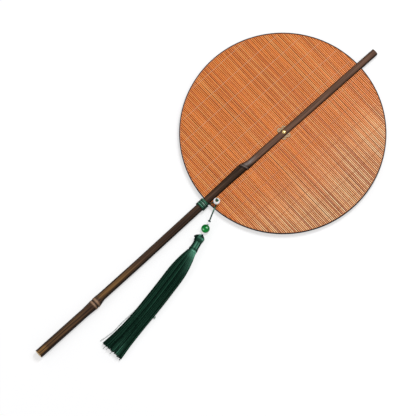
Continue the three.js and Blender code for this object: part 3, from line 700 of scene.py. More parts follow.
def bamboo_rind(settings):
    """Dark smoked bamboo: long grain, painted shade on its flanks, golden streaks, pale node scars (the
    upper one partly a painted highlight), pale cut ends.
    """
    look = Finish("dark_bamboo", settings.rind, 0.45, specular_ior_level=0.07)
    grain = look.noise(6, 1700, 22, 1700)
    streak = look.noise(4, 640, 11, 640)
    patch = look.noise(3, 60, 24, 60)
    look.cover(look.ramp(streak, 0.4, 0.64), settings.rind_light)
    look.cover(look.times(look.mark("worn"), look.ramp(streak, 0.3, 0.6, 0.3, 0.95)), settings.worn)
    look.cover(look.ramp(grain, 0.5, 0.72, 0.0, 0.55), shade(30, 20, 16))
    look.cover(look.ramp(patch, 0.52, 0.72, 0.0, 0.4), shade(38, 27, 22))
    look.cover(look.times(look.mark("gold"), look.ramp(streak, 0.38, 0.58, 0.1, 1.0)), settings.gold)
    # Painted shade on the stick's flanks.
    look.cover(look.mark("flank"), shade(18, 11, 8))
    look.cover(look.times(look.mark("ridge"), look.ramp(grain, 0.36, 0.6, 0.5, 1.0)), settings.ridge)
    # Pale grey on the upper node's scar and in the branch groove: partly a scar, partly a painted
    # highlight.
    grey = look.times(look.mark("scar"), look.ramp(grain, 0.36, 0.6, 0.4, 1.0))
    look.cover(grey, shade(158, 148, 144))
    look.cover(look.mark("crease"), shade(20, 12, 10))
    pith = look.ramp(look.noise(2, 1500), 0.4, 0.7)
    look.cover(look.mark("cut"), look.mix(pith, settings.cut, shade(196, 160, 110)))
    return look.finish(grain, 0.35, 0.12 * MM, look.ramp(patch, 0.3, 0.7, 0.34, 0.55))


def bamboo_splint(settings):
    """Thin split bamboo: each splint has a tone of its own, with long streaks and painted shade in the
    hollows between splints; on the side of the stick that faces the lamp it is painted paler, with
    painted glints on the pale splints and deeper painted shade in the hollows."""
    look = Finish("splint_bamboo", settings.splint, 0.45, specular_ior_level=0.05, coat_weight=0.36,
                  coat_roughness=0.27)
    fibre = look.noise(4, 60, 5200, 5200)
    streak = look.noise(3, 28, 520, 200)
    field = look.noise(3, 22, 30, 20)
    gap = look.noise(2, 24, 900, 12)
    tone = look.mark("tone")
    side = look.mark("side")
    lit = look.ramp(look.across(), 0.035, 0.09)
    # Painted light: paler on the side of the stick that faces the lamp.
    look.cover(lit, shade(255, 178, 112))
    look.cover(look.ramp(tone, 0.5, 1.0), settings.splint_pale)
    look.cover(look.ramp(tone, 0.45, 0.0), settings.splint_dark)
    # Painted glints and shade on the lamp side: pale splints brighter, dark ones darker.
    look.cover(look.times(lit, look.ramp(tone, 0.5, 0.75, 0.0, 0.8)), shade(255, 228, 182))
    look.cover(look.times(lit, look.ramp(tone, 0.48, 0.24, 0.0, 0.9)), shade(178, 98, 48))
    look.cover(look.ramp(tone, 0.52, 0.75, 0.0, 0.35), shade(255, 186, 112))
    look.cover(look.ramp(tone, 0.46, 0.24, 0.0, 0.4), shade(190, 92, 36))
    look.cover(look.ramp(streak, 0.55, 0.72, 0.0, 0.4), settings.splint_pale)
    look.cover(look.ramp(streak, 0.45, 0.28, 0.0, 0.45), settings.splint_dark)
    look.cover(look.ramp(field, 0.45, 0.7, 0.0, 0.3), shade(248, 136, 56))
    look.cover(look.ramp(fibre, 0.5, 0.8, 0.0, 0.3), shade(206, 108, 46))
    # Painted shade in the hollows between splints, full on the lamp side.
    seam = look.times(side, look.ramp(gap, 0.36, 0.56, 0.62, 1.0))
    seam = look.math("MAXIMUM", seam, look.times(side, lit))
    look.cover(seam, look.mix(lit, settings.seam, shade(36, 10, 4)))
    return look.finish(fibre, 0.25, 0.05 * MM, look.ramp(fibre, 0.3, 0.7, 0.34, 0.5))


def woven_tape(settings):
    """Matt black woven tape: fine crossing ribs."""
    look = Finish("black_tape", settings.tape, 0.85, specular_ior_level=0.1)
    weave = look.noise(2, 2400)
    look.cover(look.ramp(weave, 0.35, 0.7), shade(50, 45, 44))
    return look.finish(weave, 0.5, 0.15 * MM)


def spun_thread(settings):
    """Pale spun thread, painted browner on the side of the stick that faces the lamp, as the splints are
    painted there, with soiled hollows.
    """
    look = Finish("pale_thread", settings.thread, 0.85, sheen_weight=0.2, sheen_roughness=0.5)
    fuzz = look.noise(3, 3000)
    # Painted light: browner on the lamp side, as the splints are painted there.
    look.cover(look.ramp(look.across(), 0.0, 0.05), shade(204, 134, 84))
    look.cover(look.ramp(fuzz, 0.4, 0.7, 0.0, 0.6), shade(178, 110, 64))
    return look.finish(fuzz, 0.3, 0.05 * MM)


def polished_brass(settings):
    """Polished brass, slightly rubbed."""
    look = Finish("brass", settings.brass, 0.22, metallic=1.0)
    rub = look.noise(4, 900)
    look.cover(look.ramp(rub, 0.4, 0.75, 0.0, 0.5), shade(168, 132, 62))
    return look.finish(rub, 0.06, 0.05 * MM, look.ramp(rub, 0.3, 0.7, 0.16, 0.32))


def aged_brass(settings):
    """Antique brass: dull and greyish, darker in patches."""
    look = Finish("aged_brass", settings.aged, 0.45, metallic=0.6)
    patina = look.noise(5, 700)
    look.cover(look.ramp(patina, 0.42, 0.7), shade(98, 80, 56))
    return look.finish(patina, 0.15, 0.08 * MM, look.ramp(patina, 0.3, 0.7, 0.36, 0.6))


def twisted_cord(settings):
    """Satin cord: painted sheen on its plies, painted shade between them and on the turns marked shaded,
    and a painted glint on one turn.
    """
    look = Finish("laid_cord", settings.cord, 0.5, specular_ior_level=0.04,
                  specular_tint=(0.3, 0.8, 0.6, 1.0))
    fibre = look.noise(3, 3600)
    lobe = look.mark("lobe")
    dark = shade(5, 32, 24)
    # Painted sheen on the crowns of the plies.
    look.cover(look.ramp(lobe, 0.4, 1.0, 0.0, 0.7), settings.cord_light)
    # Painted shade where the cord is marked shaded.
    look.cover(look.ramp(look.mark("shaded"), 0.0, 1.0, 0.0, 0.92), dark)
    # Painted shade in the hollows between the plies.
    look.cover(look.ramp(lobe, 0.5, 0.15, 0.0, 0.55), dark)
    # Painted glint on one turn of the binding.
    look.cover(look.mark("pale"), shade(206, 228, 216))
    look.cover(look.ramp(fibre, 0.5, 0.75, 0.0, 0.35), shade(12, 50, 38))
    return look.finish(fibre, 0.3, 0.05 * MM)


def cord_finish(settings):
    """The cord's finish, made once for all the pieces of cord."""
    return bpy.data.materials.get("laid_cord") or twisted_cord(settings)


def tassel_silk(settings):
    """Silk strands: each has its own tone, with painted sheen below the tie, on the head and on the +X
    side.
    """
    look = Finish("green_silk", settings.silk, 0.42, specular_ior_level=0.08,
                  specular_tint=(0.4, 0.9, 0.7, 1.0))
    fibre = look.noise(3, 1400)
    look.cover(look.ramp(look.mark("tone"), 0.45, 1.0), settings.silk_mid)
    # Painted sheen where the silk is marked for it.
    look.cover(look.mark("gloss"), settings.silk_painted_sheen)
    look.cover(look.ramp(fibre, 0.5, 0.8, 0.0, 0.3), shade(8, 26, 19))
    return look.finish(fibre, 0.15, 0.05 * MM)


def white_glaze(settings):
    """Glossy white with the faintest cloud."""
    look = Finish("white_glaze", settings.white, 0.12, subsurface_weight=0.15,
                  subsurface_scale=0.4 * MM)
    cloud = look.noise(3, 300)
    look.cover(look.ramp(cloud, 0.4, 0.7), shade(246, 245, 241))
    return look.finish(cloud, 0.03, 0.05 * MM)


def jade_stone(settings):
    """Polished green stone: paler clouds, dark veins, painted highlights as pale flecks, and painted
    light towards its lower end, less of it at the top."""
    look = Finish("jade_stone", settings.jade, 0.16, specular_ior_level=0.25,
                  specular_tint=(0.3, 1.0, 0.55, 1.0))
    cloud = look.ramp(look.noise(5, 240), 0.4, 0.65, 0.0, 0.6)
    painted_light_below = look.ramp(look.mark("low"), -0.7, 0.9, -0.15, 0.6)
    # Painted light towards the lower end, less at the top.
    look.cover(look.math("ADD", painted_light_below, cloud), settings.jade_light)
    look.cover(look.ramp(look.noise(2, 520), 0.55, 0.75, 0.0, 0.45), shade(0, 58, 18))
    # Painted highlights as pale flecks.
    look.cover(look.mark("fleck"), shade(200, 244, 216))
    return look.finish()


# Operators

def settings_of(context):
    """The add-on's settings on the scene."""
    return context.scene.fan


class FAN_OT_stage(bpy.types.Operator):
    """Camera at the viewing angle, pale floor and soft lamps"""
    bl_idname = "fan.stage"
    bl_label = "Stage"

    def execute(self, context):
        settings = settings_of(context).stage
        self.camera(context, settings)
        self.floor(settings)
        self.lamps(settings)
        self.sky(context, settings)
        context.scene.view_settings.view_transform = "Standard"
        return {"FINISHED"}

    def camera(self, context, settings):
        """A camera that looks at the aim from its azimuth and elevation."""
        data = bpy.data.cameras.new("camera")
        data.lens = settings.lens
        data.sensor_width = SENSOR_WIDTH
        back = Vector((
            math.sin(settings.azimuth) * math.cos(settings.elevation),
            -math.cos(settings.azimuth) * math.cos(settings.elevation),
            math.sin(settings.elevation),
        ))
        distance = settings.view_width * data.lens / data.sensor_width
        data.clip_start, data.clip_end = CLIP_RANGE
        camera = add_object("camera", data)
        camera.location = Vector(settings.aim) + back * distance
        look_along(camera, -back)
        context.scene.camera = camera

    def background_rays(self, tree):
        """One for rays that see the surroundings: from the camera, off gloss, or through glass."""
        path = tree.nodes.new("ShaderNodeLightPath")
        seen = path.outputs["Is Camera Ray"]
        for name in ("Is Glossy Ray", "Is Transmission Ray"):
            either = tree.nodes.new("ShaderNodeMath")
            either.operation = "MAXIMUM"
            tree.links.new(seen, either.inputs[0])
            tree.links.new(path.outputs[name], either.inputs[1])
            seen = either.outputs["Value"]
        return seen

    def floor(self, settings):
        """A wide flat table top that shows white, and keeps the fan's shadow."""
        corners = np.array([[-1, -1, 0], [1, -1, 0], [1, 1, 0], [-1, 1, 0]]) * FLOOR_HALF
        mesh = bpy.data.meshes.new("table_top")
        mesh.from_pydata(corners, [], [[0, 1, 2, 3]])
        floor = add_object("table_top", mesh)
        material = bpy.data.materials.new("table_top")
        material.use_nodes = True
        tree = material.node_tree
        surface = tree.nodes["Principled BSDF"]
        surface.inputs["Base Color"].default_value = (*settings.floor, 1.0)
        surface.inputs["Roughness"].default_value = 0.9
        surface.inputs["Specular IOR Level"].default_value = 0.0
        glow = tree.nodes.new("ShaderNodeMath")
        glow.operation = "MULTIPLY"
        tree.links.new(self.background_rays(tree), glow.inputs[0])
        glow.inputs[1].default_value = FLOOR_GLOW
        surface.inputs["Emission Color"].default_value = (1.0, 1.0, 1.0, 1.0)
        tree.links.new(glow.outputs["Value"], surface.inputs["Emission Strength"])
        mesh.materials.append(material)

    def lamps(self, settings):
        """Two long soft lamps high beyond the disc, and a square one low beyond the butt, each with
        its power, its size and its place, and turned to the origin."""
        for name, power, size, place in (
            ("key_lamp", settings.key, (0.1, 0.42), (-0.085, 0.5, 1.2)),
            ("fill_lamp", settings.fill, (0.4, 0.4), (-0.3, -1.05, 0.6)),
            ("side_lamp", settings.side, (0.12, 0.45), (0.34, 0.585, 1.1)),
        ):
            data = bpy.data.lights.new(name, "AREA")
            data.energy = power
            data.shape = "RECTANGLE"
            data.size, data.size_y = size
            lamp = add_object(name, data)
            lamp.location = place
            look_along(lamp, -Vector(place))

    def sky(self, context, settings):
        """An even pale sky, white where the background is seen."""
        world = bpy.data.worlds.new("sky")
        world.use_nodes = True
        tree = world.node_tree
        background = tree.nodes["Background"]
        background.inputs["Color"].default_value = (1.0, 1.0, 1.0, 1.0)
        level = tree.nodes.new("ShaderNodeMapRange")
        tree.links.new(self.background_rays(tree), level.inputs["Value"])
        level.inputs["To Min"].default_value = settings.sky
        level.inputs["To Max"].default_value = 1.0
        tree.links.new(level.outputs["Result"], background.inputs["Strength"])
        context.scene.world = world


def strand_rise():
    """A strand's bend from its lay up into the white bead: [distance from the strand, height]."""
    turn = np.radians([90, 60, 30, 0])
    aside, up = BEND_RADIUS * (1 - np.cos(turn)), BEND_RADIUS * (1 - np.sin(turn))
    bend = np.stack([aside, LAY_HEIGHT + up], axis=1)
    return np.vstack([bend, [0, STRAND_TOP - 2 * CORD_RADIUS], [0, STRAND_TOP]])


def pendant_point(distance, height):
    """A point on the pendant cord from its distance from the bead and its height."""
    return np.array([
        WHITE_BEAD[0] + STRAND_OFFSET + distance * math.sin(PENDANT_HEADING),
        WHITE_BEAD[1] - distance * math.cos(PENDANT_HEADING),
        height,
    ])


def drop_length():
    """Length of the cord through the drop: from the knot to the end of the lower spacer."""
    reach = (middle("lower_spacer_bead") - KNOT) @ DROP
    return reach + SPACER_HALF - KNOT_RADIUS - SEAT_GAP


class FAN_OT_pendant_cord(bpy.types.Operator):
    """The cord from the white bead over the rim to its knot, and the cord through the drop"""
    bl_idname = "fan.pendant_cord"
    bl_label = "Pendant cord"

    def execute(self, context):
        settings = settings_of(context).cord
        cord = cord_finish(settings)
        knot = make_piece(
            "pendant_knot", [self.knot(settings)], cord, "pendant", ["cord_knot"])
        start = KNOT + DROP * (KNOT_RADIUS + SEAT_GAP)
        end = start + DROP * drop_length()
        inner = rope(np.array([start, end]), CORD_RADIUS, settings.lay, step=0.4 * MM)
        make_piece("drop_strand", [inner], cord, "drop", ["drop_cord"])
        line = self.route()
        line[:, 2] += PENDANT_LIFT * self.outside_bead(line)
        line, along = spaced(line, PENDANT_STEP)
        strand = rope(line, PENDANT_RADIUS, settings.lay, PENDANT_STEP)
        middles = strand["points"].mean(axis=2, keepdims=True)
        press = blend(PENDANT_PRESS, 1.0, self.outside_bead(middles))[..., None]
        strand["points"] = blend(middles, strand["points"], press)
        strand["marks"]["shaded"] = self.shaded(strand["points"][0])
        piece = make_piece(
            "pendant_strand", [strand], cord, "pendant", ["pendant_cord"])
        return {"FINISHED"}

    def route(self):
        """Down through the bead, flat over the rim, then down into the knot."""
        rim = pendant_point(PENDANT_LAY, LAY_HEIGHT)
        fall = unit(KNOT - rim)
        end = KNOT - fall * (KNOT_RADIUS + SEAT_GAP)
        rise = [pendant_point(*place) for place in strand_rise()[::-1]]
        return curve_through([
            *rise,
            pendant_point(PENDANT_LAY / 2, LAY_HEIGHT),
            rim,
            end - fall * 4 * CORD_RADIUS,
            end - fall * 2 * CORD_RADIUS,
            end,
            KNOT,
        ])

    def outside_bead(self, points):
        """0 in the bead and 1 clear of it, with a smooth rise between."""
        aside = points[..., :2] - WHITE_BEAD[:2]
        return smoothstep(np.linalg.norm(aside, axis=-1), *BEAD_CLEAR)

    def shaded(self, points):
        """Painted shade along the cord, apart from a painted highlight where it bends over the rim."""
        radius = np.hypot(points[..., 0] - DISC[0], points[..., 1] - DISC[1])
        return (PENDANT_SHADE - humps(RIM_HIGHLIGHT, radius - DISC_RADIUS)).ravel()

    def knot(self, settings):
        """An overhand knot pulled tight, wider across the cord than up."""
        line = trefoil(KNOT_RADIUS, PENDANT_KNOT_INSET, PENDANT_KNOT_INSET) * PENDANT_KNOT_STRETCH
        placed = KNOT + line @ np.array([np.cross(DROP, UP), UP, DROP])
        return knotted(placed, PENDANT_KNOT_STRAND, settings.lay, 0.2 * MM, shaded=0.95)


class FAN_OT_binding(bpy.types.Operator):
    """The cord wound round the stick, its tail up through the white bead, and the knot on top"""
    bl_idname = "fan.binding"
    bl_label = "Binding"

    def execute(self, context):
        settings = settings_of(context).cord
        cord = cord_finish(settings)
        winding = rope(self.route(), CORD_RADIUS, settings.lay, step=0.35 * MM)
        # Painted shade on the winding, and a painted glint on one turn.
        winding["marks"]["shaded"] = self.shaded(winding["points"][0])
        winding["marks"]["pale"] = self.pale(winding["points"][0])
        make_piece("binding_cord", [winding], cord, "fan", ["cord_binding"])
        width, _, height = extent("stopper_knot")
        centre = middle("stopper_knot") + BEAD_KNOT_SHIFT
        line = trefoil(width / 2, CORD_RADIUS, height / 2 - CORD_RADIUS) * BEAD_KNOT_STRETCH + centre
        knot = knotted(line, CORD_RADIUS, settings.lay, 0.25 * MM, shaded=0.82)
        stub = rope(centre + STUB_POINTS, STUB_RADIUS, settings.lay, step=0.2 * MM)
        make_piece("bead_knot", [knot, stub], cord, "fan", ["stopper_knot"])
        return {"FINISHED"}

    def shaded(self, points):
        """Painted shade: every other turn is darker, in a wave along the stick, and so are the stick's
        flanks.
        """
        turns = (points[..., 1] - points[..., 1].min()) / BINDING_PITCH
        wave = 0.5 - 0.5 * np.cos(TURN * (turns - 1.5) / 1.85)
        lean = lean_at(points[..., 1] - STICK_BUTT)
        aside = (points[..., 0] - lean) / BINDING_RADIUS
        flank = np.maximum(smoothstep(aside, 0.4, 0.85), smoothstep(-aside, 0.62, 0.95))
        return np.maximum(smoothstep(wave, 0.2, 0.8), flank).ravel()

    def pale(self, points):
        """A painted glint on the crown of one turn, in the middle of the side that is seen."""
        aside, on, over = np.moveaxis(points, -1, 0)
        worn = bell(on, *GLINT_ALONG) * bell(aside, *GLINT_ACROSS)
        return (GLINT_DEPTH * worn * (over > DISC[2])).ravel()

    def route(self):
        """Up the stick in a helix, off it beside the disc, and up through the bead."""
        left = np.linspace(BINDING_TURNS, 0, round(24 * BINDING_TURNS) + 1)
        angle = BINDING_LEAVE + TURN * left
        along = BINDING_TOP - BINDING_PITCH * left
        helix = np.stack([
            lean_at(along) + BINDING_RADIUS * np.cos(angle),
            STICK_BUTT + along,
            DISC[2] + BINDING_RADIUS * np.sin(angle),
        ], axis=1)
        start = helix[0] + unit(helix[0] - helix[1]) * 2 * CORD_RADIUS
        leave = helix[-1] + unit(helix[-1] - helix[-2]) * 2 * CORD_RADIUS
        x = WHITE_BEAD[0] - STRAND_OFFSET
        tail = [
            (x + aside * MM, STICK_BUTT + HANDLE_LENGTH + on * MM, LAY_HEIGHT + over * MM)
            for aside, on, over in TAIL_POINTS
        ]
        rise = [(x, WHITE_BEAD[1] - distance, height) for distance, height in strand_rise()]
        return curve_through([start, *helix, leave, *tail, *rise], 10)


def eased(stations, along):
    """Stations in millimetres joined by straight runs, with their corners rounded off."""
    step = 0.25 * MM
    fine = np.arange(-10 * MM, STICK_LENGTH + 10 * MM, step)
    places, values = np.array(stations, float).T * MM
    spread = np.arange(-4 * STICK_EASE, 4 * STICK_EASE, step)
    weight = bell(spread, 0, STICK_EASE * math.sqrt(2))
    smooth = np.convolve(np.interp(fine, places, values), weight / weight.sum(), mode="same")
    return np.interp(along, fine, smooth)


def lean_at(along):
    """Sideways lean of the stick at a distance from its butt."""
    return eased(STICK_LEANS, along)


class FAN_OT_stick(bpy.types.Operator):
    """The bamboo stick with its nodes, branch groove and split"""
    bl_idname = "fan.stick"
    bl_label = "Stick"

    def execute(self, context):
        rind = bamboo_rind(settings_of(context).stick)
        sleeves = [self.grip(), self.half(1), self.half(-1)]
        make_piece("stick_rind", sleeves, rind, "fan", ["bamboo_stick"], 50)
        return {"FINISHED"}

    def askew(self, along, angle):
        """Distance from the butt, shifted where the upper node stands askew, lower on the -X side."""
        return along - UPPER_NODE_SKEW * np.sin(angle) * bell(along, UPPER_NODE, 16 * MM)

    def rind_radius(self, along, angle):
        """Radius of the rind: stations along the stick, ridges at the nodes, faint ribs round it,
        and the hollow that a branch leaves above its node."""
        along = self.askew(along, angle)
        low, high = along - LOWER_NODE, along - UPPER_NODE
        ridges = humps(LOWER_RIDGES, low) + humps(UPPER_RIDGES, high)
        out_of_round = 0.05 * np.sin(2 * angle + along / (90 * MM)) + 0.03 * np.sin(3 * angle + 1)
        ribs = 0.025 * np.sin(19 * angle + 0.8 * np.sin(along / (31 * MM)))
        hollow = GROOVE_DEPTH * self.groove(along, angle)
        return eased(STICK_RADII, along) + (ridges + out_of_round + ribs - 0.08 - hollow) * MM

    def groove(self, along, angle):
        """One in the middle of the branch groove, falling off to its sides and ends."""
        return stretch(along, *GROOVE_STRETCH) * bell(angle, GROOVE_AT, 0.42)

    def stations(self, start, end, cut_start, cut_end):
        """Distances along a stretch, and the share of the section left: it closes over a cut end."""
        along = np.linspace(start, end, round((end - start) / STICK_STEP))
        share = np.ones_like(along)
        if cut_start:
            along = np.concatenate([start + CUT_INSET, along[1:]])
            share = np.concatenate([CUT_CLOSING, share[1:]])
        if cut_end:
            along = np.concatenate([along[:-1], end - CUT_INSET[::-1]])
            share = np.concatenate([share[:-1], CUT_CLOSING[::-1]])
        return along[:, None], share[:, None]

    def marks(self, along, share, angle):
        """Where the rind is golden, worn, painted with shade at its flanks, scarred (the upper scars
        partly a painted highlight), creased or cut.
        """
        along = self.askew(along, angle)
        low, high = along - LOWER_NODE, along - UPPER_NODE
        front = bell(angle, 0.05, 0.55)
        gold = [strength * stretch(along, *run) for strength, *run in GOLD_STRETCHES]
        ridge = humps(LOWER_SCARS, low)
        # The upper scar and the groove: partly a scar, partly a painted highlight.
        scar = humps(UPPER_SCAR_AND_HIGHLIGHT, high) * bell(angle, 0.1, 0.8)
        scar = scar + 0.8 * stretch(high, *SCAR_AND_HIGHLIGHT_STRETCH) * bell(angle, GROOVE_AT, 0.36)
        crease = humps(LOWER_CREASES, low) + humps(UPPER_CREASES, high)
        # Painted shade on the flanks, stronger on the +X side.
        edge = smoothstep(np.abs(np.sin(angle)), 0.46, 0.92)
        return {
            "gold": front * np.maximum.reduce(gold),
            "worn": smoothstep(high, 0, 14 * MM) + 0 * angle,
            "flank": np.where(np.sin(angle) > 0, 0.9, 0.7) * edge + 0 * along,
            "ridge": np.minimum(ridge, 1) * (0.75 + 0.25 * np.sin(3 * angle + 2)),
            "scar": np.minimum(scar, 1),
            "crease": np.minimum(crease, 1) + 0 * angle,
            "cut": (share < 0.95) + 0 * angle,
        }

    def placed(self, along, across, rise):
        """Points from their distance along the stick and their place in its section."""
        x = lean_at(along) + across
        y = np.broadcast_to(STICK_BUTT + along, x.shape)
        return np.stack([x, y, DISC[2] + rise], axis=-1)

    def grip(self):
        """The whole stretch below the split: a round section that follows the rind."""
        along, share = self.stations(0, SPLIT_ALONG, True, False)
        angle = angles(48)[None, :]
        wrapped = (angle + math.pi) % TURN - math.pi
        radius = self.rind_radius(along, wrapped) * share
        points = self.placed(along, radius * np.sin(angle), radius * np.cos(angle))
        return sleeve(points, **self.marks(along, share, wrapped))

    def half(self, side):
        """One side of the split: a half-moon section, the rind's arc closed by a flat chord, with
        the spot face for the rivet."""
        along, share = self.stations(SPLIT_ALONG, STICK_LENGTH, False, True)
        reach = np.arccos(SPLIT_HALF / eased(STICK_RADII, along))
        arc = np.linspace(-1, 1, 30)[None, :] * reach
        facing = arc + (0 if side > 0 else math.pi)
        wrapped = (facing + math.pi) % TURN - math.pi
        radius = self.rind_radius(along, wrapped)
        across, rise = radius * np.sin(arc), np.maximum(radius * np.cos(arc), SPLIT_HALF)
        near = np.hypot(across, along - RIVET_ALONG) < SPOT_RADIUS
        rise = np.where(near, np.minimum(rise, SPOT_HEIGHT), rise)
        chord = np.linspace(1, -1, 10)[None, 1:-1]
        across = np.hstack([across, blend(across[:, :1], across[:, -1:], (chord + 1) / 2)])
        rise = np.hstack([rise, np.full((len(along), chord.size), SPLIT_HALF)])
        centre = (SPLIT_HALF + radius.mean(axis=1, keepdims=True)) / 2
        across, rise = across * share, centre + (rise - centre) * share
        flat = np.full((len(along), chord.size), math.pi / 2)
        marks = self.marks(along, share, np.hstack([wrapped, flat]))
        return sleeve(self.placed(along, side * across, side * rise), **marks)


class FAN_OT_splints(bpy.types.Operator):
    """The row of bamboo splints in its hoop"""
    bl_idname = "fan.splints"
    bl_label = "Splints"

    def execute(self, context):
        settings = settings_of(context).disc
        bamboo = bamboo_splint(settings)
        sleeves = [self.splints(settings), self.hoop()]
        make_piece("splint_row", sleeves, bamboo, "fan", ["splint_mat"], 60)
        return {"FINISHED"}

    def splints(self, settings):
        """Like splints, side by side, each with a flat crown, a slight roll and a slight wander; the
        ends follow the hoop: half length is the root of hoop radius squared less offset squared."""
        draw = np.random.default_rng(7)
        index = np.arange(SPLINT_COUNT)
        centre = (index - (SPLINT_COUNT - 1) / 2) * SPLINT_PITCH
        centre = centre + np.clip(draw.normal(0, 0.07, SPLINT_COUNT), -0.13, 0.13) * MM
        width = settings.splint_width * draw.uniform(0.98, 1.0, SPLINT_COUNT) / 2
        thick = settings.splint_thickness * draw.uniform(0.88, 1.0, SPLINT_COUNT) / 2
        roll = draw.normal(0, 0.02, SPLINT_COUNT)
        phase = draw.uniform(0, TURN, SPLINT_COUNT)
        tone = self.tones(draw, index)
        depth = draw.uniform(0.72, 1.0, SPLINT_COUNT + 1)
        half = np.array(SPLINT_SECTION)
        aside, rise, side = np.vstack([half, half[-2:0:-1] * [-1, 1, 1]]).T
        side = side * np.where(aside > 0, depth[1:, None], depth[:-1, None])
        aside = aside * width[:, None]
        rise = rise * thick[:, None] + aside * roll[:, None]
        along = np.linspace(-1, 1, 15)[None, :, None]
        y = centre[:, None, None] + aside[:, None, :]
        y = y + SPLINT_WANDER * np.sin(2.2 * along + phase[:, None, None]) * (1 - along**2)
        reach = np.sqrt(np.maximum(HOOP_INNER**2 - y**2, SPLINT_LEAST_HALF**2))
        # The rows run towards -X, so that height, then Y, then that way stay right-handed
        points = np.broadcast_arrays(-along * reach, y + DISC[1], rise[:, None, :] + DISC[2])
        return sleeve(
            np.stack(points, axis=-1), tone=np.clip(tone, 0, 1)[:, None, None], side=side[:, None, :])

    def tones(self, draw, index):
        """A tone for each splint: pale and dark ones take turns, in and out of step by a slow wave,
        and a few stand out as dark or pale."""
        beat = np.cos(np.pi * index + 2.4 * np.sin(0.37 * index))
        tone = 0.16 * beat + draw.normal(0.49, 0.04, SPLINT_COUNT)
        for chance, standing_out in ((0.08, 0.3), (0.06, 0.68)):
            tone = np.where(draw.random(SPLINT_COUNT) < chance, standing_out, tone)
        return tone

    def hoop(self):
        """The thin hoop at the splints' ends: a section with a low ridge, carried round the rim."""
        ridge = (HOOP_INNER + HOOP_OUTER) / 2
        front = np.array([[HOOP_HALF, HOOP_INNER], [HOOP_RIDGE, ridge], [HOOP_HALF, HOOP_OUTER]])
        section = np.vstack([front, front[::-1] * [-1, 1]])
        # The hoop takes a little of the hollows' painted shade.
        return sleeve(ring_of(section, 180), True, tone=0.35, side=0.3)


def ring_of(section, rows):
    """[height, radius] points carried round the middle of the disc."""
    around = angles(rows)[:, None]
    height, radius = section.T
    return np.stack(np.broadcast_arrays(
        DISC[0] + radius * np.cos(around), DISC[1] + radius * np.sin(around), DISC[2] + height), axis=-1)


class FAN_OT_edge_tape(bpy.types.Operator):
    """The black tape folded over the disc's edge"""
    bl_idname = "fan.edge_tape"
    bl_label = "Edge tape"

    def execute(self, context):
        tape = woven_tape(settings_of(context).disc)
        sleeves = [sleeve(ring_of(self.section(), 360), True)]
        make_piece("edge_binding", sleeves, tape, "fan", ["edge_tape"], 50)
        return {"FINISHED"}

    def section(self):
        """The tape's section: a flat lap on each face, joined round the edge by a web whose outer
        corners are quarter circles."""
        outer, lap = DISC_RADIUS, DISC_RADIUS - TAPE_LAP
        web, inside = outer - TAPE_THICKNESS, TAPE_HALF - TAPE_THICKNESS
        turn = np.radians(np.linspace(0, 90, 6))
        corner = np.stack([
            TAPE_HALF - TAPE_FOLD + TAPE_FOLD * np.cos(turn),
            outer - TAPE_FOLD + TAPE_FOLD * np.sin(turn),
        ], axis=1)
        return np.vstack([
            [[inside, lap], [TAPE_HALF, lap]], corner, corner[::-1] * [-1, 1],
            [[-TAPE_HALF, lap], [-inside, lap], [-inside, web], [inside, web]],
        ])


class FAN_OT_warp_threads(bpy.types.Operator):
    """The pairs of threads twined between the splints"""
    bl_idname = "fan.warp_threads"
    bl_label = "Warp threads"

    def execute(self, context):
        settings = settings_of(context).disc
        thread = spun_thread(settings)
        for i in range(THREAD_COUNT):
            x = (i - (THREAD_COUNT - 1) / 2) * THREAD_SPACING
            name, node = (f"warp_{kind}_{i + 1:02d}" for kind in ("twine", "thread"))
            sleeves = [self.strand(x, side, settings) for side in (1, -1)]
            make_piece(name, sleeves, thread, "fan", [node])
        return {"FINISHED"}

    def strand(self, x, side, settings):
        """One strand of a twined pair: its height swings from front to back once every two
        splints, flattened over each splint, while it sways aside so as to pass its twin."""
        chord = math.sqrt(HOOP_INNER**2 - (abs(x) + settings.thread_width) ** 2)
        turn = SPLINT_PITCH * math.floor(chord / SPLINT_PITCH - 0.5)
        y = np.linspace(-turn, turn, round(2 * turn / SPLINT_PITCH) * 6 + 1)
        phase = math.pi * (y / SPLINT_PITCH + 0.5)
        swing = np.tanh(THREAD_FLATNESS * np.cos(phase)) / math.tanh(THREAD_FLATNESS)
        height = side * THREAD_RISE * swing
        aside = side * THREAD_SWAY * np.sin(phase)
        line = np.stack([DISC[0] + x + aside, DISC[1] + y, DISC[2] + height], axis=1)
        spoke = spokes(*carried_frames(line), 5)
        return sleeve(line[:, None] + settings.thread_width / 2 * spoke)


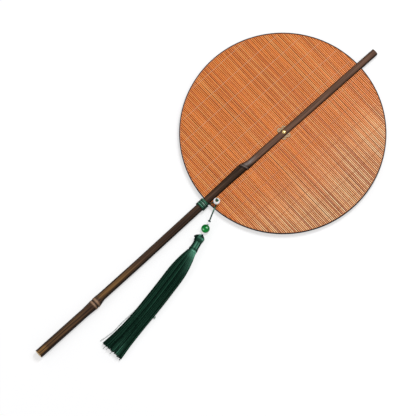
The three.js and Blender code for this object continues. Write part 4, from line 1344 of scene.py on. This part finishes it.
class FAN_OT_rivet(bpy.types.Operator):
    """The domed stud, its post and the two flower washers"""
    bl_idname = "fan.rivet"
    bl_label = "Rivet and washers"

    def execute(self, context):
        settings = settings_of(context).metal
        brass, aged = polished_brass(settings), aged_brass(settings)
        make_piece("stud_cap", [self.stud()], brass, "fan", ["dome_stud"], 35)
        make_piece("rivet_pin", [self.post()], brass, "fan", ["rivet_post"], 35)
        for face in ("front", "back"):
            self.flower(f"{face}_flower", f"{face}_flower_washer", aged)
        return {"FINISHED"}

    def stud(self):
        """A low dome over a thin rim, hollow below for the post: an ellipse arc turned upright."""
        seat = np.array([*RIVET[:2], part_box("dome_stud")[0][2]])
        turn = np.linspace(0, 0.97 * math.pi / 2, 14)
        height = STUD_RIM + (STUD_HEIGHT - STUD_RIM) * np.sin(turn)
        dome = np.stack([STUD_RADIUS * np.cos(turn), height], axis=1)
        inside = [[POLE_RADIUS, SOCKET_DEPTH], [SOCKET_RADIUS, SOCKET_DEPTH], [SOCKET_RADIUS, 0]]
        rim = [[STUD_RADIUS - STUD_EASE, 0], [STUD_RADIUS, STUD_EASE]]
        return sleeve(turned(np.vstack([inside, rim, dome]), seat, UP, 48))

    def post(self):
        """The post: a straight shank with, at the back, a low peened head, a quarter of an ellipse
        turned upright."""
        foot = np.array([*RIVET[:2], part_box("rivet_post")[0][2]])
        head_width, _, top = extent("rivet_post")
        turn = np.linspace(0.03 * math.pi / 2, math.pi / 2, 10)
        head = np.stack([
            head_width / 2 * np.sin(turn), BACK_HEAD_HEIGHT * (1 - np.cos(turn))], axis=1)
        shank = [
            [POST_RADIUS, BACK_HEAD_HEIGHT], [POST_RADIUS, top - POST_EASE],
            [POST_RADIUS - POST_EASE, top], [POLE_RADIUS, top],
        ]
        return sleeve(turned(np.vstack([head, shank]), foot, UP, 40))

    def flower(self, name, node, finish):
        """A pierced flower: in each petal a sheet runs from the hole's edge to the petal's bounds,
        which are the outer arc, two spokes and the bore, with its edges a little raised."""
        half = math.pi / PETAL_COUNT
        swing = np.linspace(-half, half, 17)
        aside = PETAL_REACH * np.sin(swing)
        arc = PETAL_REACH * np.cos(swing) + np.sqrt(PETAL_RADIUS**2 - aside**2)
        spoke = np.linspace(WASHER_BORE, arc[0], 7)
        bore = np.linspace(half, -half, 9)
        radius = np.concatenate([spoke[:-1], arc, spoke[::-1][1:], np.full(7, WASHER_BORE)])
        angle = np.concatenate([np.full(6, -half), swing, np.full(6, half), bore[1:-1]])
        bounds = np.stack([radius * np.cos(angle), radius * np.sin(angle)], axis=1)
        centre = np.array([PETAL_HOLE_REACH, 0])
        hole = centre + PETAL_HOLE_RADIUS * unit(bounds - centre)
        shares, lift = np.array(PETAL_SHEET).T
        lift = lift * WASHER_HALF
        sheet = blend(hole[:, None], bounds[:, None], shares[None, :, None])
        turn = PETAL_TURN + 2 * half * np.arange(PETAL_COUNT)[:, None, None]
        x = sheet[None, ..., 0] * np.cos(turn) - sheet[None, ..., 1] * np.sin(turn)
        y = sheet[None, ..., 0] * np.sin(turn) + sheet[None, ..., 1] * np.cos(turn)
        x, y = (np.concatenate([values, values[..., ::-1]], axis=-1) for values in (x, y))
        z = np.broadcast_to(np.concatenate([lift, -lift[::-1]]), x.shape)
        points = np.stack([x, y, z], axis=-1) + middle(node)
        make_piece(name, [sleeve(points, True)], finish, "fan", [node], 50)


class FAN_OT_beads(bpy.types.Operator):
    """The white bead on the binding's tail, and the stone bead between its spacers"""
    bl_idname = "fan.beads"
    bl_label = "Beads"

    def execute(self, context):
        settings = settings_of(context).cord
        white, jade = white_glaze(settings), jade_stone(settings)
        profile = bead_profile(WHITE_RADIUS, BEAD_HOLE, WHITE_HALF, 28)
        bead = sleeve(turned_ring(profile, WHITE_BEAD, UP, 56), True)
        make_piece("white_ball", [bead], white, "white_bead", ["white_bead"], 60)
        radius = extent("jade_bead")[2] / 2
        profile = bead_profile(radius, DROP_BORE, math.sqrt(radius**2 - DROP_BORE**2), 34)
        points = turned_ring(profile, JADE, DROP, 64)
        facing = unit(points - JADE)
        highlights = [bell(np.arccos(facing @ unit(way)), 0, width) for way, width in JADE_HIGHLIGHTS]
        stone = sleeve(
            points, True, low=(points - JADE) @ DROP / radius, fleck=HIGHLIGHT_DEPTH * np.maximum(*highlights))
        make_piece("jade_ball", [stone], jade, "bead_stack", ["jade_bead"], 60)
        for end in ("upper", "lower"):
            node = f"{end}_spacer_bead"
            profile = bead_profile(extent(node)[2] / 2, DROP_BORE, SPACER_HALF, 14)
            ball = sleeve(turned_ring(profile, middle(node), DROP, 28), True)
            make_piece(f"{end}_spacer", [ball], white, "bead_stack", [node], 60)
        return {"FINISHED"}


def tassel_points(across, down, rise):
    """Points from their place across, down and above the tassel's axis."""
    side = np.array([math.cos(TASSEL_HEADING), math.sin(TASSEL_HEADING), 0.0])
    fall = np.array([math.sin(TASSEL_HEADING), -math.cos(TASSEL_HEADING), 0.0])
    across, down, rise = np.broadcast_arrays(across, down, rise)
    return TASSEL_TOP + across[..., None] * side + down[..., None] * fall + rise[..., None] * UP


def neck_half_width(down):
    """Half width of the neck: straight, then widening to the skirt."""
    share = smoothstep(down, NECK_AT + NECK_STRAIGHT, NECK_AT + NECK_LENGTH)
    return blend(NECK_WIDTH, NECK_END_WIDTH, share) / 2


def skirt_half_width(down):
    """Half width of the skirt: it flares from the tie, runs straight and spreads at its end."""
    flare = 1 - np.maximum(0, 1 - down / SKIRT_FLARE) ** 2
    spread = np.maximum(0, 1 - (SKIRT_LENGTH - down) / SKIRT_SPREAD) ** 2
    body = blend(NECK_END_WIDTH, SKIRT_BODY_WIDTH, flare)
    return (body + (SKIRT_END_WIDTH - SKIRT_BODY_WIDTH) * spread) / 2


def skirt_half_height(down):
    """Half height of the skirt: it swells from the tie and lies flatter towards its end."""
    body = blend(NECK_HEIGHT, SKIRT_BODY_HEIGHT, smoothstep(down, 0, SKIRT_FLARE))
    settle = smoothstep(down, SKIRT_FLARE, SKIRT_LENGTH)
    return (body + (SKIRT_END_HEIGHT - SKIRT_BODY_HEIGHT) * settle) / 2


def skirt_points(across, down, rise):
    """Points from their place in the skirt: its axis is an arc that curls sideways, and its belly
    comes down on to the table as it leaves the tie."""
    start = SKIRT_HEADING - TASSEL_HEADING
    turn = start - SKIRT_CURL * down / SKIRT_LENGTH
    arc = SKIRT_LENGTH / SKIRT_CURL
    lift = TASSEL_TOP[2] - NECK_HEIGHT / 2
    belly = blend(lift, BELLY_LIFT, smoothstep(down, 0, SKIRT_FLARE))
    x = arc * (np.cos(turn) - math.cos(start)) + across * np.cos(turn)
    y = arc * (np.sin(turn) - math.sin(start)) - SKIRT_AT + across * np.sin(turn)
    z = belly + skirt_half_height(down) + rise
    return tassel_points(x, -y, np.maximum(z, STRAND_LIFT) - TASSEL_TOP[2])


def thin_tubes(lines, radius, columns, tone, gloss):
    """Round strands along many lines at once, each section turned from the way its line runs."""
    tangents = unit(np.gradient(lines, axis=1))
    side = unit(np.cross(tangents, UP))
    spoke = spokes(side, np.cross(tangents, side), columns)
    return sleeve(
        lines[:, :, None] + radius * spoke, tone=tone[:, None, None], gloss=gloss[:, :, None])


class FAN_OT_tassel(bpy.types.Operator):
    """The tassel: head, neck, tie and skirt"""
    bl_idname = "fan.tassel"
    bl_label = "Tassel"

    def execute(self, context):
        settings = settings_of(context)
        silk = tassel_silk(settings.tassel)
        cord = cord_finish(settings.cord)
        head = [self.crown(), self.loop(), *(self.lobe(*lobe) for lobe in HEAD_LOBES)]
        make_piece("tassel_crown", head, silk, "tassel", ["tassel_head"])
        make_piece("tassel_throat", [self.neck()], silk, "tassel", ["tassel_neck"], 60)
        tie = rope(self.tie_route(), TIE_RADIUS, TIE_LAY, step=0.25 * MM, plies=2, columns=8)
        # Painted shade: the tie is dark all over.
        tie = evenly_shaded(tie, 1.0)
        make_piece("throat_tie", [tie], cord, "tassel", ["neck_tie"])
        skirt = [self.core(), self.strands(settings.tassel), *self.strays()]
        make_piece("tassel_fall", skirt, silk, "tassel", ["tassel_skirt"], 70)
        return {"FINISHED"}

    def crown(self):
        """The core of the head: a ribbed dome, an ellipse arc that runs straight into the neck."""
        down = HEAD_LENGTH * np.linspace(0.01, 1, 36)[:, None] ** 1.5
        around = angles(96)[None, :]
        dome = np.sqrt(1 - (1 - np.minimum(down / HEAD_DOME, 1)) ** 2)
        rib = 1 - 0.04 * np.abs(np.sin(12 * around))
        widen = smoothstep(down, HEAD_DOME, HEAD_LENGTH)
        across = blend(HEAD_WIDTH, NECK_WIDTH, widen) / 2 * dome * rib * np.cos(around)
        rise = blend(HEAD_HEIGHT, NECK_HEIGHT, widen) / 2 * dome * rib * np.sin(around)
        tone = np.clip(0.5 + 0.5 * np.sin(24 * around) + 0 * down, 0, 1)
        # Painted sheen in a band across the head.
        band = bell(down, 0.48 * HEAD_LENGTH, 0.13 * HEAD_LENGTH)
        gloss = band * (0.3 * bell(around, 1.75, 0.6) + 0.75 * bell(around, 0.75, 0.4))
        return sleeve(tassel_points(across, down, rise), tone=tone, gloss=gloss)

    def lobe(self, across, down, lead, half_length, half_width):
        """A fold of silk on the head: a ribbed ellipsoid whose long axis leads at an angle from
        across the tassel."""
        lead = math.radians(lead)
        turn = np.linspace(0.04, math.pi - 0.04, 28)[:, None]
        around = angles(48)[None, :]
        rib = 1 - 0.07 * np.abs(np.sin(6 * around + 0.8 * np.cos(turn)))
        long_way = -half_length * MM * np.cos(turn) + 0 * around
        short_way = half_width * MM * np.sin(turn) * rib * np.cos(around)
        rise = LOBE_HEIGHT + LOBE_HALF_HEIGHT * np.sin(turn) * rib * np.sin(around)
        tone = 0.25 + 0.35 * np.sin(12 * around) + 0 * turn
        points = tassel_points(
            across * MM + long_way * math.cos(lead) + short_way * math.sin(lead),
            down * MM - long_way * math.sin(lead) + short_way * math.cos(lead), rise)
        return sleeve(points[:, ::-1], tone=np.clip(tone, 0, 1)[:, ::-1], gloss=0.0)

    def loop(self):
        """The pale loop between the lobes that the cord pulls on."""
        turn = np.linspace(-0.2, math.pi + 0.2, 24)[:, None]
        swing = np.hstack([np.cos(turn), np.sin(turn), np.sin(turn)])
        line = tassel_points(*(LOOP_MIDDLE + LOOP_REACH * swing).T)
        part = rope(line, LOOP_RADIUS, LOOP_LAY, step=0.2 * MM)
        # Painted sheen on the loop's plies.
        part["marks"] = {"tone": part["marks"]["lobe"], "gloss": 0.5 + 0.5 * part["marks"]["lobe"]}
        return part

    def neck(self):
        """The satin neck: fine ridges run down it, and it widens to the skirt. Its upper side is painted
        paler, and it has painted sheen in two streaks and below the tie.
        """
        down = np.linspace(NECK_AT, NECK_AT + NECK_LENGTH, 24)[:, None]
        around = angles(120)[None, :]
        rib = 1 - 0.03 * np.abs(np.sin(20 * around + 0.3 * np.sin(down / (2 * MM))))
        shift = NECK_SHIFT * smoothstep(down, NECK_AT, NECK_AT + 3 * MM)
        across = shift + neck_half_width(down) * rib * np.cos(around)
        rise = NECK_HEIGHT / 2 * rib * np.sin(around)
        # Painted light: the upper side paler; painted sheen in two streaks and below the tie.
        tone = 0.6 * smoothstep(np.sin(around), 0.3, 0.9) + 0.25 * np.sin(40 * around) + 0 * down
        streaks = bell(around, 0.95, 0.2) + bell(around, 1.62, 0.2)
        gloss = 0.6 * streaks * bell(down, NECK_AT + 0.45 * NECK_LENGTH, 0.7 * NECK_LENGTH)
        below = smoothstep(down, *(NECK_AT + BELOW_TIE))
        gloss = blend(gloss, 0.9 * smoothstep(np.cos(around), -0.6, 0.3), below)
        return sleeve(tassel_points(across, down, rise), tone=np.clip(tone, 0, 1), gloss=gloss)

    def tie_route(self):
        """A few slanted turns round the lower end of the neck."""
        turns = np.linspace(0, TIE_TURNS, 24 * TIE_TURNS + 1)
        down = NECK_AT + NECK_LENGTH - TIE_INSET - TIE_PITCH * (TIE_TURNS - turns)
        offset = TIE_RADIUS / 2
        across = NECK_SHIFT + (neck_half_width(down) + offset) * np.cos(TURN * turns)
        return tassel_points(across, down, (NECK_HEIGHT / 2 + offset) * np.sin(TURN * turns))

    def core(self):
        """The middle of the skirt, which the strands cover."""
        down = np.linspace(0, 0.975 * SKIRT_LENGTH, 40)[:, None]
        around = angles(64)[None, :]
        rib = 0.9 - 0.05 * np.abs(np.sin(16 * around + 3 * down / SKIRT_LENGTH))
        across = skirt_half_width(down) * rib * np.cos(around)
        rise = skirt_half_height(down) * rib * np.sin(around)
        # Painted sheen below the tie, on the +X side.
        gloss = 0.8 * bell(down, 1.5 * MM, 5 * MM) * smoothstep(np.cos(around), -0.7, 0.4)
        return sleeve(skirt_points(across, down, rise), tone=0.3, gloss=gloss)

    def strands(self, settings):
        """The strands: each keeps its own place in the section from the tie to the cut end, with a
        slow wander that grows down the skirt. They carry painted sheen below the tie, most on the +X
        side."""
        draw = np.random.default_rng(11)
        each = (settings.strands, 1)
        place = draw.uniform(0, TURN, each)
        depth = np.sqrt(draw.uniform(0.72, 1.0, each))
        end = SKIRT_LENGTH * draw.uniform(0.988, 1.003, each)
        flyaway = draw.random(each) < 0.02
        end = end + np.where(flyaway, draw.uniform(2, 5, each) * MM, 0)
        down = np.linspace(0, 1, 18)[None, :] * end
        share = down / SKIRT_LENGTH
        waves = draw.uniform(0.4, 1.2, each)
        wander = 0.05 * share * np.sin(TURN * (waves * share + draw.random(each)))
        within = np.minimum(down, SKIRT_LENGTH)
        across = skirt_half_width(within) * (depth * np.cos(place) + wander)
        rise = skirt_half_height(within) * depth * np.sin(place)
        lines = skirt_points(across, down, rise)
        tone = np.clip(draw.normal(0.42, 0.36, settings.strands), 0, 1)
        # Painted sheen: below the tie, most on the +X side, and at the end on that side.
        lit = smoothstep(depth * np.cos(place), -0.7, 0.4) * draw.uniform(0.6, 1.0, each)
        tail = smoothstep(np.cos(place), 0.0, 0.8) * (draw.random(each) < 0.45)
        tip = bell(depth * np.cos(place), 0.35, 0.25) * (draw.random(each) < 0.3)
        gloss = lit * bell(down, 1.5 * MM, 5 * MM) + 0.35 * tail * bell(down, 12 * MM, 12 * MM)
        gloss = gloss + 0.5 * tip * bell(down, SKIRT_LENGTH - 4 * MM, 10 * MM)
        return thin_tubes(lines, settings.strand_width / 2, 4, tone, gloss)

    def strays(self):
        """Loose strands: two leave the side nearer the stick, bowed by half a wave and kicked out at
        their ends, and a tuft of three-quarter circles sticks out on the other side."""
        share = np.linspace(0, 1, 24)[None, :]
        start, bow, kick, tone = np.array(STRAYS).T[..., None]
        down = (start + (1.0 - start) * share) * SKIRT_LENGTH
        bow = bow * MM * np.sin(math.pi * np.minimum(share * 1.1, 1))
        kick = kick * MM * smoothstep(share, 0.6, 1.0)
        lines = skirt_points(
            -skirt_half_width(down) - bow - kick, down, -0.6 * skirt_half_height(down))
        loose = thin_tubes(lines, STRAY_RADIUS, 4, tone[:, 0], 0 * down)
        turn = np.linspace(0, 1.5 * math.pi, 22)[None, :]
        size, place = np.array(TUFT_CURLS).T[..., None] * MM
        at = TUFT_AT + place + size * np.sin(turn)
        out = skirt_half_width(at) - 0.3 * MM + size * (1 - np.cos(turn))
        curl = skirt_points(out, at, -0.5 * skirt_half_height(at))
        # The tuft has a little painted sheen.
        tuft = thin_tubes(curl, TUFT_RADIUS, 4, np.full(len(at), 0.9), 0.3 + 0 * at)
        return [loose, tuft]


class FAN_PT_panel(bpy.types.Panel):
    """Lists the pieces of the fan"""
    bl_idname = "FAN_PT_panel"
    bl_label = "Round Hand Fan"
    bl_space_type = "VIEW_3D"
    bl_region_type = "UI"
    bl_category = "Fan"

    def draw(self, context):
        for operator in OPERATORS:
            self.layout.operator(operator.bl_idname)
        settings = settings_of(context)
        for group in ("stick", "disc", "metal", "cord", "tassel", "stage"):
            box = self.layout.box()
            box.label(text=group.title())
            values = getattr(settings, group)
            for name in values.__annotations__:
                box.prop(values, name)


class FanSettings(bpy.types.PropertyGroup):
    """All the fan's settings."""
    stick: PointerProperty(type=FanStickSettings, name="Stick", description="The bamboo stick")
    disc: PointerProperty(type=FanDiscSettings, name="Disc", description="Splints, threads and tape")
    metal: PointerProperty(type=FanMetalSettings, name="Metal", description="Rivet and washers")
    cord: PointerProperty(type=FanCordSettings, name="Cord", description="Cord and beads")
    tassel: PointerProperty(type=FanTasselSettings, name="Tassel", description="The silk tassel")
    stage: PointerProperty(type=FanStageSettings, name="Stage", description="Camera, floor and lamps")


OPERATORS = (
    FAN_OT_stage, FAN_OT_pendant_cord, FAN_OT_binding, FAN_OT_stick, FAN_OT_splints,
    FAN_OT_edge_tape, FAN_OT_warp_threads, FAN_OT_rivet, FAN_OT_beads, FAN_OT_tassel,
)
CLASSES = (
    FanStickSettings, FanDiscSettings, FanMetalSettings, FanCordSettings, FanTasselSettings,
    FanStageSettings, FanSettings, *OPERATORS, FAN_PT_panel,
)


def register():
    """Adds the classes and the scene's settings."""
    for item in CLASSES:
        bpy.utils.register_class(item)
    bpy.types.Scene.fan = PointerProperty(type=FanSettings)


def unregister():
    """Takes them away again."""
    del bpy.types.Scene.fan
    for item in reversed(CLASSES):
        bpy.utils.unregister_class(item)


def main():
    """Builds the fan."""
    register()
    for operator in OPERATORS:
        group, name = operator.bl_idname.split(".")
        getattr(getattr(bpy.ops, group), name)()


if __name__ == "__main__":
    main()
